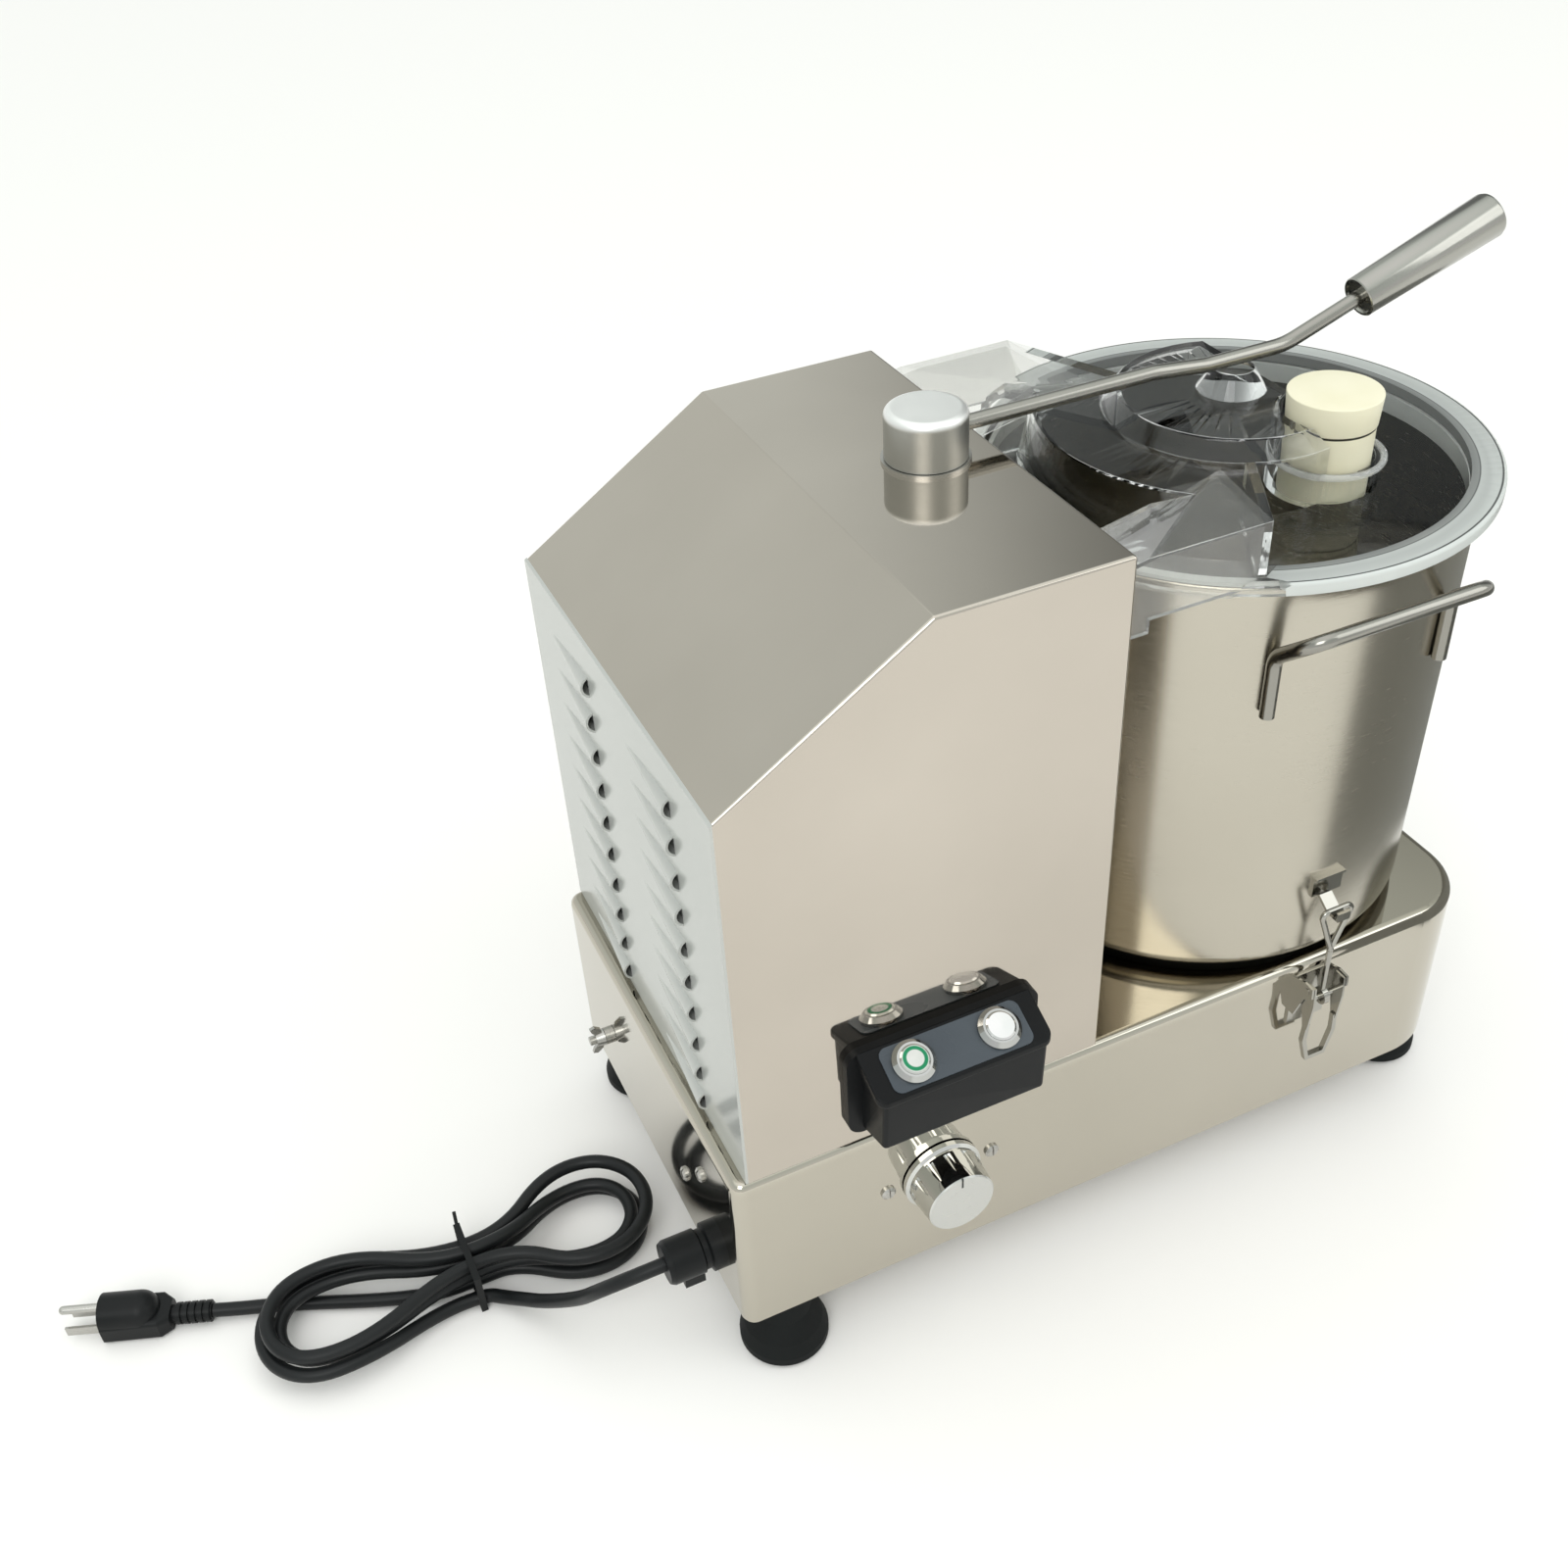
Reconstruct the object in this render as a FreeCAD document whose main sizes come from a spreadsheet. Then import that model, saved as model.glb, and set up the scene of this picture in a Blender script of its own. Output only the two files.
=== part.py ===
import FreeCAD, Part
import Sketcher
import math
import os

# Countertop bowl cutter: motor housing and bowl side by side on a folded steel base.
# Frame: millimetres, +Z up, origin on the floor under the middle of the base,
# +X from the motor housing towards the bowl, -Y the side with the controls.

Vector = FreeCAD.Vector
Rotation = FreeCAD.Rotation

DIMENSIONS = {
    # base
    "base_length": 495, "base_width": 264, "base_height": 118, "sheet_metal": 1.5,
    "base_end_radius": 44, "base_corner_radius": 8, "base_edge_radius": 6, "floor_plate": 2,
    # feet
    "foot_height": 44, "foot_radius": 26, "foot_neck": 14, "foot_left_edge": 28.5, "foot_right_edge": 14,
    "foot_side": 18, "foot_corner_side": 46,
    # motor housing
    "housing_inset": 8.5, "housing_length": 213.5, "housing_width": 260,
    "eave_height": 239.5, "housing_height": 311.5, "slope_run": 110.8, "fold_radius": 2,
    # ventilation scoops
    "scoop_radius": 6.8, "scoop_sink": 2.5, "scoop_length": 60, "scoop_pitch": 22.4, "scoop_low": 10.5,
    "scoop_back_start": 36, "scoop_front_start": -77,
    # bowl
    "bowl_axis": 120.4, "bowl_radius": 133, "bowl_foot_radius": 130, "bowl_height": 260,
    "bowl_wall": 1.5, "bowl_lift": 5.5, "bowl_rim": 3.5, "tube_radius": 22, "tube_height": 62,
    # bowl handles
    "handle_rod": 8, "handle_half_span": 55, "handle_reach": 19, "handle_rise": 21,
    "handle_leg": 36, "handle_low": 189, "handle_bend": 11,
    # lid
    "lid_radius": 143.6, "lid_skirt": 15, "lid_wall": 3, "lid_rise": 271, "lid_recess": 5.5,
    "lid_plug_radius": 129, "tier_one_radius": 104, "tier_one_draft": 7, "tier_one_rise": 296,
    "tier_two_radius": 60, "tier_two_draft": 8, "tier_two_rise": 305, "nub_rise": 316.7,
    "wing_rise": 301.5, "wing_half": 120.4, "wing_inner": 58, "wing_end": 295, "step_front": 22,
    # feed opening and its stopper
    "feed_offset": 29.2, "feed_side": -46, "feed_bore": 24.7, "stopper_radius": 24.4,
    "stopper_head": 25.8, "stopper_top": 310, "feed_rise": 288,
    # locking arm
    "post_axis": 177, "post_radius": 21, "post_height": 27.5, "arm_rod": 8, "arm_lift": 13.5,
    "arm_dip": 3.5, "arm_grip_length": 88, "arm_grip_small": 8.5, "arm_grip_large": 12.5,
    "arm_pin_radius": 8,
    # controls
    "panel_axis": -125, "button_spacing": 49.5, "button_radius": 8, "bezel_radius": 11.6,
    "panel_tilt": 25, "panel_lift": 63.6, "panel_out": 17, "control_nose": 30.5, "control_width": 101,
    "knob_axis": -125.5, "knob_drop": 50.5, "knob_radius": 20, "knob_skirt": 23.5, "knob_length": 24,
    # latches
    "latch_pivot_out": 13, "latch_pivot_height": 154, "latch_arm": 10, "latch_toggle": 8,
    "bail_bar_out": 11, "bail_bar_height": 211, "bail_wire": 3.5, "bail_half_width": 11,
    "bail_fork_height": 181, "keeper_wall": 130,
    # drive
    "motor_axis": -150, "motor_radius": 60, "motor_height": 180, "motor_pin": 9.5,
    "motor_groove": 28, "spindle_groove": 41, "belt_level": 76, "belt_width": 10, "belt_depth": 6,
    "spindle_radius": 12.5, "bearing_radius": 26, "running_gap": 0.06,
    # blades
    "blade_reach": 121, "blade_thickness": 3, "hub_radius": 29,
    # mains cord
    "cord_diameter": 8.5, "gland_side": -100, "gland_height": 84, "gland_length": 33.5,
    "hank_axis": -365, "hank_side": 4, "hank_left": 134, "hank_right": 104,
    "hank_turn": 36, "hank_pitch": 10.2, "waist_share": 1.08, "hank_layer": 9.7, "hank_lift": 1.4,
}


class Size:
    """A number that carries the sheet expression which gives it."""

    def __init__(self, text, number):
        self.text = text
        self.number = number

    def __add__(self, other):
        return joined(self, "+", other)

    def __radd__(self, other):
        return joined(other, "+", self)

    def __sub__(self, other):
        return joined(self, "-", other)

    def __rsub__(self, other):
        return joined(other, "-", self)

    def __mul__(self, other):
        return joined(self, "*", other)

    def __rmul__(self, other):
        return joined(other, "*", self)

    def __truediv__(self, other):
        return joined(self, "/", other)

    def __neg__(self):
        return joined(0, "-", self)

    def __float__(self):
        return float(self.number)


def sized(value):
    """Any number as a Size."""
    if isinstance(value, Size):
        return value
    return Size(repr(float(value)), float(value))


def joined(left, sign, right):
    """Two sizes joined by one arithmetic sign."""
    left = sized(left)
    right = sized(right)
    results = {
        "+": lambda: left.number + right.number,
        "-": lambda: left.number - right.number,
        "*": lambda: left.number * right.number,
        "/": lambda: left.number / right.number,
    }
    return Size(f"({left.text} {sign} {right.text})", results[sign]())


doc = FreeCAD.newDocument("bowl_cutter")
sheet = doc.addObject("Spreadsheet::Sheet", "dims")
for row, (alias, number) in enumerate(DIMENSIONS.items(), start=1):
    sheet.set(f"A{row}", alias)
    sheet.set(f"B{row}", str(number))
    sheet.setAlias(f"B{row}", alias)
doc.recompute()
D = {alias: Size(f"dims.{alias}", float(sheet.get(alias))) for alias in DIMENSIONS}
subparts = []

# Levels and stations that many pieces share
sheet_metal = D["sheet_metal"]
base_top = D["foot_height"] + D["base_height"]
plate_top = D["foot_height"] + D["floor_plate"]
left_end = D["base_length"] / -2
base_front = D["base_width"] / -2
housing_left = left_end + D["housing_inset"]
housing_right = housing_left + D["housing_length"]
housing_front = D["housing_width"] / -2
ridge = housing_left + D["slope_run"]
eave = base_top + D["eave_height"]
roof = base_top + D["housing_height"]
bowl_x = D["bowl_axis"]
bowl_floor = base_top + D["bowl_lift"]
bowl_top = bowl_floor + D["bowl_height"]
lid_top = base_top + D["lid_rise"]
lid_wall = D["lid_wall"]
post_x = housing_left + D["post_axis"]
arm_level = roof + D["arm_lift"]
feed_x = bowl_x + D["feed_offset"]
feed_y = D["feed_side"]
motor_x = D["motor_axis"]
spring_gap = 0.3


# Small makers that the sub-parts share


def fix(obj, prop, value):
    """Bind one property to the sheet, or set it."""
    if isinstance(value, Size):
        obj.setExpression(prop, value.text)
    else:
        setattr(obj, prop, value)


def place(obj, at=(0, 0, 0), turn=None):
    """Give an object its place, bound to the sheet, and its turn."""
    obj.Placement = FreeCAD.Placement(Vector(*[float(sized(v)) for v in at]), turn or Rotation())
    for axis, value in zip("xyz", at):
        if isinstance(value, Size):
            obj.setExpression(f"Placement.Base.{axis}", value.text)
    return obj


def named(obj, label):
    """Enter an object in the list of sub-parts under its own label."""
    obj.Label = label
    subparts.append(obj)
    return obj


def box(name, size, at, turn=None):
    obj = doc.addObject("Part::Box", name)
    for prop, value in zip(("Length", "Width", "Height"), size):
        fix(obj, prop, value)
    return place(obj, at, turn)


TO_X = Rotation(Vector(0, 1, 0), 90)
TO_LEFT = Rotation(Vector(0, 1, 0), -90)
TO_FRONT = Rotation(Vector(1, 0, 0), 90)
TO_BACK = Rotation(Vector(1, 0, 0), -90)
HALF_TURN = Rotation(Vector(0, 0, 1), 180)


def rod(name, radius, length, at, turn=None):
    obj = doc.addObject("Part::Cylinder", name)
    fix(obj, "Radius", radius)
    fix(obj, "Height", length)
    return place(obj, at, turn)


def cone(name, low_radius, high_radius, length, at, turn=None):
    obj = doc.addObject("Part::Cone", name)
    fix(obj, "Radius1", low_radius)
    fix(obj, "Radius2", high_radius)
    fix(obj, "Height", length)
    return place(obj, at, turn)


def fuse(name, pieces):
    obj = doc.addObject("Part::MultiFuse", name)
    obj.Shapes = pieces
    obj.Refine = True
    return obj


def cut(name, base, tools):
    obj = doc.addObject("Part::Cut", name)
    obj.Base = base
    obj.Tool = tools[0] if len(tools) == 1 else fuse(name + "_tools", tools)
    return obj


def common(name, first, second):
    obj = doc.addObject("Part::Common", name)
    obj.Base = first
    obj.Tool = second
    return obj


def group(name, pieces):
    obj = doc.addObject("Part::Compound", name)
    obj.Links = pieces
    return obj


def solid(name, shape, at=(0, 0, 0), turn=None):
    obj = doc.addObject("Part::Feature", name)
    obj.Shape = shape
    return place(obj, at, turn)


def outline(body, name, plane, points):
    """A closed sketch through points, each coordinate bound to the sheet."""
    sketch = body.newObject("Sketcher::SketchObject", name)
    support = [feature for feature in body.Origin.OriginFeatures if feature.Role == plane][0]
    sketch.AttachmentSupport = [(support, "")]
    sketch.MapMode = "FlatFace"
    corners = [(sized(across), sized(up)) for across, up in points]
    flat = [Vector(across.number, up.number, 0) for across, up in corners]
    for start, end in zip(flat, flat[1:] + flat[:1]):
        sketch.addGeometry(Part.LineSegment(start, end), False)
    for index in range(len(flat)):
        after = (index + 1) % len(flat)
        sketch.addConstraint(Sketcher.Constraint("Coincident", index, 2, after, 1))
    for index, corner in enumerate(corners):
        for kind, value in zip(("DistanceX", "DistanceY"), corner):
            number = sketch.addConstraint(Sketcher.Constraint(kind, -1, 1, index, 1, value.number))
            if "dims." in value.text:
                sketch.setExpression(f"Constraints[{number}]", value.text)
    return sketch


def padded(name, plane, points, length, at=(0, 0, 0), turn=None, midplane=False):
    """A body padded from a polygon."""
    body = doc.addObject("PartDesign::Body", name)
    sketch = outline(body, name + "_outline", plane, points)
    pad = body.newObject("PartDesign::Pad", name + "_pad")
    pad.Profile = sketch
    fix(pad, "Length", length)
    pad.Midplane = midplane
    body.Tip = pad
    return place(body, at, turn)


def turned(name, points, at=(0, 0, 0), turn=None):
    """A body of revolution about its own Z axis, from points of radius and height."""
    body = doc.addObject("PartDesign::Body", name)
    sketch = outline(body, name + "_outline", "XZ_Plane", points)
    revolution = body.newObject("PartDesign::Revolution", name + "_turn")
    revolution.Profile = sketch
    revolution.ReferenceAxis = (sketch, ["V_Axis"])
    revolution.Angle = 360
    body.Tip = revolution
    return place(body, at, turn)


def rounded(body, radius, chosen):
    """Fillet the edges of a body that a test picks by their middle point and direction."""
    doc.recompute()
    base = body.Tip
    names = []
    for index, edge in enumerate(base.Shape.Edges, start=1):
        middle = edge.valueAt((edge.FirstParameter + edge.LastParameter) / 2)
        if chosen(edge, middle):
            names.append(f"Edge{index}")
    fillet = body.newObject("PartDesign::Fillet", f"{body.Name}_round{len(body.Group)}")
    fillet.Base = (base, names)
    fix(fillet, "Radius", radius)
    body.Tip = fillet
    return body


def near(value, target, slack=0.01):
    return abs(float(value) - float(target)) < slack


def upright(edge):
    """Is this a straight edge along Z?"""
    ends = [vertex.Point for vertex in edge.Vertexes]
    return len(ends) == 2 and near(ends[0].x, ends[1].x) and near(ends[0].y, ends[1].y)


def ring_at(radius, height):
    """A test for the round edge of a turned body at one radius and height."""
    def chosen(edge, middle):
        return near(math.hypot(middle.x, middle.y), radius) and near(middle.z, height)
    return chosen


# Paths of bent wire and cord


def tangent_arc(start, corner, end):
    """The arc from start to end whose tangents meet at corner, or a line where they are in line."""
    weight = (end - start).Length / (2 * (corner - start).Length)
    if weight > 1 - 1e-7:
        return Part.LineSegment(start, end).toShape()
    middle = (start + corner * (2 * weight) + end) * (1 / (2 + 2 * weight))
    return Part.Arc(start, middle, end).toShape()


def bent_path(points, radius_of):
    """Straight runs joined by tangent arcs, with the bend radii that were used."""
    edges = []
    radii = []
    last = points[0]
    for before, corner, after in zip(points, points[1:], points[2:]):
        inward = (before - corner).normalize()
        outward = (after - corner).normalize()
        half_turn = (math.pi - inward.getAngle(outward)) / 2
        shorter = min((before - corner).Length, (after - corner).Length)
        radius = radius_of(shorter, half_turn)
        setback = radius * math.tan(half_turn)
        start = corner + inward * setback
        end = corner + outward * setback
        edges.append(Part.LineSegment(last, start).toShape())
        edges.append(tangent_arc(start, corner, end))
        radii.append(radius)
        last = end
    edges.append(Part.LineSegment(last, points[-1]).toShape())
    return Part.Wire(edges), radii


def tube(path, diameter):
    """A round bar swept along a path."""
    start = path.Edges[0].valueAt(path.Edges[0].FirstParameter)
    heading = path.Edges[0].tangentAt(path.Edges[0].FirstParameter)
    section = Part.Wire(Part.makeCircle(diameter / 2, start, heading))
    return path.makePipeShell([section], True, False)


def wire_bend(radius):
    return lambda shorter, half_turn: radius


def cord_bend(shorter, half_turn):
    """As wide a bend as the shorter of two cord runs allows."""
    run_share = 0.45
    return run_share * shorter / math.tan(half_turn)


def points_of(*rows):
    return [Vector(*[float(sized(value)) for value in row]) for row in rows]


# Base


def plan_block(name, inset, low, high):
    """The plan shape of the base, drawn in by an inset, between two heights."""
    across = D["base_length"] / 2 - inset
    deep = D["base_width"] / 2 - inset
    corners = [(-across, -deep), (across, -deep), (across, deep), (-across, deep)]
    body = padded(name, "XY_Plane", corners, high - low, (0, 0, low))
    rounded(body, D["base_end_radius"] - inset, lambda edge, mid: upright(edge) and mid.x > 0)
    return rounded(body, D["base_corner_radius"] - inset, lambda edge, mid: upright(edge) and mid.x < 0)


def round_top(body, height, radius):
    """Round the whole upper edge of a padded block, which stands at its own zero."""
    return rounded(body, radius, lambda edge, mid: near(mid.z, height))


SCREW_PLACES = [
    (D["knob_axis"] - 32.5, base_front, base_top - D["knob_drop"], TO_FRONT),
    (D["knob_axis"] + 32.5, base_front, base_top - D["knob_drop"], TO_FRONT),
    (left_end, sized(-50), base_top - 74, TO_LEFT),
    (left_end, sized(-80), base_top - 42, TO_LEFT),
]
screw_shank = 1.9
earth_place = (left_end, sized(82), base_top - 82)
earth_radius = 3


def make_base():
    outer = plan_block("base_outer", 0, plate_top, base_top)
    round_top(outer, base_top - plate_top, D["base_edge_radius"])
    inner = plan_block("base_inner", sheet_metal, plate_top - 1, base_top - sheet_metal)
    round_top(inner, base_top - plate_top + 1 - sheet_metal, D["base_edge_radius"] - sheet_metal)
    low = base_top - 10
    gland_at = (left_end - 2, D["gland_side"], D["gland_height"])
    knob_at = (D["knob_axis"], base_front + 5, base_top - D["knob_drop"])
    holes = [
        inner,
        rod("spindle_hole", 34, 20, (bowl_x, 0, low)),
        rod("motor_hole", 36, 20, (motor_x, 0, low)),
        rod("gland_hole", 9.3, 8, gland_at, TO_X),
        rod("knob_hole", 4.6, 10, knob_at, TO_FRONT),
        rod("earth_hole", earth_radius + 0.2, 8, (left_end - 2,) + earth_place[1:], TO_X),
    ]
    for number, (x, y, z, turn) in enumerate(SCREW_PLACES):
        inward = turn.multVec(Vector(0, 0, -4))
        at = (x + inward.x, y + inward.y, z)
        holes.append(rod(f"screw_hole_{number}", screw_shank + 0.15, 8, at, turn))
    named(cut("base_shell_cut", outer, holes), "base_shell")


def foot_places():
    """Close to the square corners on the left, and drawn in at the round corners on the right."""
    left = left_end + D["foot_left_edge"]
    right = D["base_length"] / 2 - D["foot_right_edge"]
    deep = D["base_width"] / 2 - D["foot_side"]
    drawn_in = D["base_width"] / 2 - D["foot_corner_side"]
    return [(left, -deep), (right, -drawn_in), (right, drawn_in), (left, deep)]


def make_floor_plate():
    plate = plan_block("plate_blank", 1, D["foot_height"], plate_top)
    slots = []
    for row in range(8):
        slots.append(box(f"plate_slot_{row}", (70, 4, 8), (motor_x - 35, sized(-42 + 12 * row), D["foot_height"] - 3)))
    for number, (x, y) in enumerate(foot_places()):
        slots.append(rod(f"plate_hole_{number}", 3.3, 8, (x, y, D["foot_height"] - 3)))
    named(cut("base_plate_cut", plate, slots), "base_plate")


def make_feet():
    height = D["foot_height"]
    wide = D["foot_radius"]
    neck = D["foot_neck"]
    feet = []
    screws = []
    for number, (x, y) in enumerate(foot_places()):
        profile = [(7.5, 0), (wide - 3, 0), (wide, 3), (wide, 8), (wide - 3, 17), (neck + 3, 29), (neck, 40),
                   (neck, height), (3.4, height), (3.4, 14), (7.5, 14)]
        feet.append(turned(f"foot_{number}", profile, (x, y, 0)))
        bolt = [(0, 9), (6.5, 9), (6.5, 14), (3, 14), (3, plate_top), (6, plate_top),
                (6, plate_top + 5), (3, plate_top + 5), (3, plate_top + 9), (0, plate_top + 9)]
        screws.append(turned(f"foot_screw_{number}", bolt, (x, y, 0)))
    named(group("feet_group", feet), "rubber_feet")
    named(group("foot_screw_group", screws), "foot_screws")


# Motor housing


def make_housing():
    skin = sheet_metal
    slope = D["housing_height"] - D["eave_height"]
    inner_eave = eave + slope * skin / D["slope_run"]
    left = housing_left + skin
    outside = [(left, base_top), (left, inner_eave), (ridge, roof), (housing_right, roof), (housing_right, base_top)]
    outer = padded("housing_outer", "XZ_Plane", outside, D["housing_width"], midplane=True)

    def folded(edge, middle):
        along_left = near(middle.x, left)
        along_foot = near(middle.z, base_top)
        return not along_left and not along_foot

    rounded(outer, D["fold_radius"], folded)
    drop = skin * 1.2
    hollow = [(left - 2, base_top - 2), (left - 2, inner_eave - drop - 1), (ridge + 0.4, roof - skin),
              (housing_right - skin, roof - skin), (housing_right - skin, base_top - 2)]
    inner = padded("housing_hollow", "XZ_Plane", hollow, D["housing_width"] - skin * 2, midplane=True)
    post_hole = rod("post_hole", 11.1, 10, (post_x, 0, roof - 5))
    window = box("control_window", (60, 8, 24), (D["panel_axis"] - 30, housing_front - 3, base_top + 30))
    named(cut("housing_cut", outer, [inner, post_hole, window]), "housing_shell")


def scoop_places():
    for start in (D["scoop_back_start"], D["scoop_front_start"]):
        for row in range(10):
            yield start, base_top + D["scoop_low"] + D["scoop_pitch"] * row


def make_vent_panel():
    skin = sheet_metal
    slope = D["housing_height"] - D["eave_height"]
    inner_eave = eave + slope * skin / D["slope_run"]
    edge = [(housing_left, base_top), (housing_left, eave), (housing_left + skin, inner_eave), (housing_left + skin, base_top)]
    panel = padded("vent_blank", "XZ_Plane", edge, D["housing_width"], midplane=True)
    swells = []
    hollows = []
    wall = 1.2
    for number, (y, z) in enumerate(scoop_places()):
        sunk = housing_left + D["scoop_sink"]
        swells.append(cone(f"scoop_{number}", D["scoop_radius"], D["scoop_sink"], D["scoop_length"], (sunk, y, z), TO_BACK))
        hollow_end = D["scoop_sink"] - wall
        hollows.append(cone(f"scoop_hollow_{number}", D["scoop_radius"] - wall, hollow_end, D["scoop_length"], (sunk, y - 0.5, z), TO_BACK))
    outward = box("scoop_side", (20, D["base_width"], D["eave_height"]), (housing_left - 19.5, base_front, base_top))
    raised = common("scoop_halves", fuse("scoop_swells", swells), outward)
    named(cut("vent_cut", fuse("vent_fused", [panel, raised]), hollows), "vent_panel")


# Bowl, its handles and the hooks that the latches pull on


def make_bowl():
    wall = D["bowl_wall"]
    top = D["bowl_height"]
    wide = D["bowl_radius"]
    foot = D["bowl_foot_radius"]
    tube_out = D["tube_radius"]
    tube_in = tube_out - wall
    rim = wide + D["bowl_rim"]
    profile = [(tube_in, 0), (foot, 0), (wide, top - 6), (rim, top - 6), (rim, top), (wide - wall, top),
               (foot - wall, wall), (tube_out, wall), (tube_out, D["tube_height"]), (tube_in, D["tube_height"])]
    bowl = turned("bowl_body", profile, (bowl_x, 0, bowl_floor))
    rounded(bowl, 9, ring_at(foot, 0))
    rounded(bowl, 7.5, ring_at(foot - wall, wall))
    rounded(bowl, 2.4, lambda edge, mid: near(math.hypot(mid.x, mid.y), rim))
    named(bowl, "bowl")
    seat = [(98, 0), (119, 0), (119, D["bowl_lift"]), (114, D["bowl_lift"]), (112, 3), (98, 3)]
    named(turned("seat_body", seat, (bowl_x, 0, base_top)), "bowl_seat")


def wall_radius(height):
    """Outer radius of the bowl at a height above the floor."""
    share = (height - bowl_floor) / D["bowl_height"]
    return D["bowl_foot_radius"] + (D["bowl_radius"] - D["bowl_foot_radius"]) * share


def make_bowl_handles():
    rod_size = float(D["handle_rod"])
    span = float(D["handle_half_span"])
    low = float(base_top + D["handle_low"])
    bend_level = low + float(D["handle_leg"])
    weld = 0.25
    standing = float(wall_radius(base_top + D["handle_low"] + D["handle_leg"] / 2)) + rod_size / 2 - weld
    wall_y = -math.sqrt(standing ** 2 - span ** 2)
    bar_y = wall_y - float(D["handle_reach"]) - 6
    bar_z = bend_level + float(D["handle_rise"])
    points = points_of((-span, wall_y, low), (-span, wall_y, bend_level), (-span, bar_y, bar_z),
                       (span, bar_y, bar_z), (span, wall_y, bend_level), (span, wall_y, low))
    path, radii = bent_path(points, wire_bend(float(D["handle_bend"])))
    for side, turn in (("front", Rotation()), ("back", HALF_TURN)):
        named(solid(f"bowl_handle_{side}_rod", tube(path, rod_size), (bowl_x, 0, 0), turn), f"bowl_handle_{side}")


def make_keepers():
    """A plate on the bowl wall with a narrow tongue curled up into a hook for the latch wire."""
    gauge = 2
    wall = D["keeper_wall"]
    bar_out = D["base_width"] / 2 + D["bail_bar_out"]
    bar_low = D["bail_bar_height"] - D["bail_wire"] / 2 - spring_gap
    back = bar_out - D["bail_wire"] / 2 - 1.5
    front = bar_out + D["bail_wire"] / 2 + 2.2
    tongue = [(-wall, bar_low + 9), (-wall - gauge, bar_low + 9), (-wall - gauge, bar_low + 5.5),
              (-back, bar_low), (-front, bar_low), (-front, bar_low + 3.6),
              (-front - gauge, bar_low + 3.6), (-front - gauge, bar_low - gauge),
              (-back + 0.6, bar_low - gauge), (-wall, bar_low + 4.2)]
    plate = [(-wall, bar_low + 6), (-wall, bar_low + 20), (-wall - 4, bar_low + 20),
             (-wall - 4, bar_low + 18.4), (-wall - gauge, bar_low + 17), (-wall - gauge, bar_low + 6)]
    for side, turn in (("front", Rotation()), ("back", HALF_TURN)):
        strip = padded(f"keeper_tongue_{side}", "YZ_Plane", tongue, 8.4, midplane=True)
        back_plate = padded(f"keeper_plate_{side}", "YZ_Plane", plate, 20, midplane=True)
        hook = fuse(f"keeper_{side}_fused", [strip, back_plate])
        named(place(hook, (bowl_x, 0, 0), turn), f"keeper_{side}")


# Clear lid with its stepped hood towards the housing


def wedge_front(name, shift, depth):
    """Everything on the housing side of the two slanted front walls of the hood, drawn back by a shift."""
    end = base_left_of(D["wing_end"]) - shift
    wide = shift - D["wing_half"]
    lean = 0.59
    inner = sized(-42)
    meet = end + (inner - wide) * lean
    corners = [(housing_right - 40, wide), (end, wide), (meet, inner), (meet, -inner), (end, -wide), (housing_right - 40, -wide)]
    return padded(name, "XY_Plane", corners, depth, (0, 0, lid_top - 30))


def base_left_of(station):
    """A station measured from the left wall of the housing."""
    return housing_left + station


def hood(name, shrink):
    """The stepped raised part of the lid as a block, shrunk by a wall thickness."""
    plate = lid_top - D["lid_recess"]
    low = plate - 1 - shrink * 2
    one_top = base_top + D["tier_one_rise"] - shrink
    two_top = base_top + D["tier_two_rise"] - shrink
    one_radius = D["tier_one_radius"] - shrink
    two_radius = D["tier_two_radius"] - shrink
    two_foot = two_radius + D["tier_two_draft"]
    tier_one = cone(f"{name}_tier_one", one_radius + D["tier_one_draft"], one_radius, one_top - low, (bowl_x, 0, low))
    kept_one = common(f"{name}_tier_one_kept", tier_one, wedge_front(f"{name}_wedge", sized(shrink), 120))
    drum = rod(f"{name}_tier_two_drum", two_foot, one_top - low, (bowl_x, 0, low))
    slope = cone(f"{name}_tier_two_slope", two_foot, two_radius, two_top - one_top, (bowl_x, 0, one_top))
    tier_two = fuse(f"{name}_tier_two", [drum, slope])
    step = box(f"{name}_step", (150, 200, 90), (bowl_x + D["step_front"] - shrink, -100, low - 10))
    round_feed = rod(f"{name}_round_feed", D["stopper_head"] + 1.2 + shrink, 90, (feed_x, feed_y, low - 10))
    kept_two = cut(f"{name}_tier_two_kept", tier_two, [step, round_feed])
    return [kept_one, kept_two]


def wing(name, side, shrink, low):
    """One corner pocket of the lid beside the housing, with a slanted face that falls to the foot of the first step."""
    high = base_top + D["wing_rise"] - shrink
    inner_high = base_top + D["tier_one_rise"] - shrink
    outer = D["wing_half"] - shrink
    inner = D["wing_inner"] + shrink
    start = housing_right + 2 + shrink
    profile = [(outer * side, low), (outer * side, high), (inner * side, inner_high), (inner * side, low)]
    block = padded(f"{name}_block", "YZ_Plane", profile, sized(130), (start, 0, 0))
    trimmed = common(f"{name}_trimmed", block, wedge_front(f"{name}_wedge", sized(shrink), 120))
    crease = Vector(53, 70 * side, 458.5)
    facing = Vector(-0.187, -0.337 * side, 0.923)
    turn = Rotation(Vector(0, 0, 1), facing)
    corner = crease - facing * float(sized(shrink)) + turn.multVec(Vector(-120, -120, 0))
    return cut(name, trimmed, [box(f"{name}_slant", (240, 240, 60), (corner.x, corner.y, corner.z), turn)])


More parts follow.
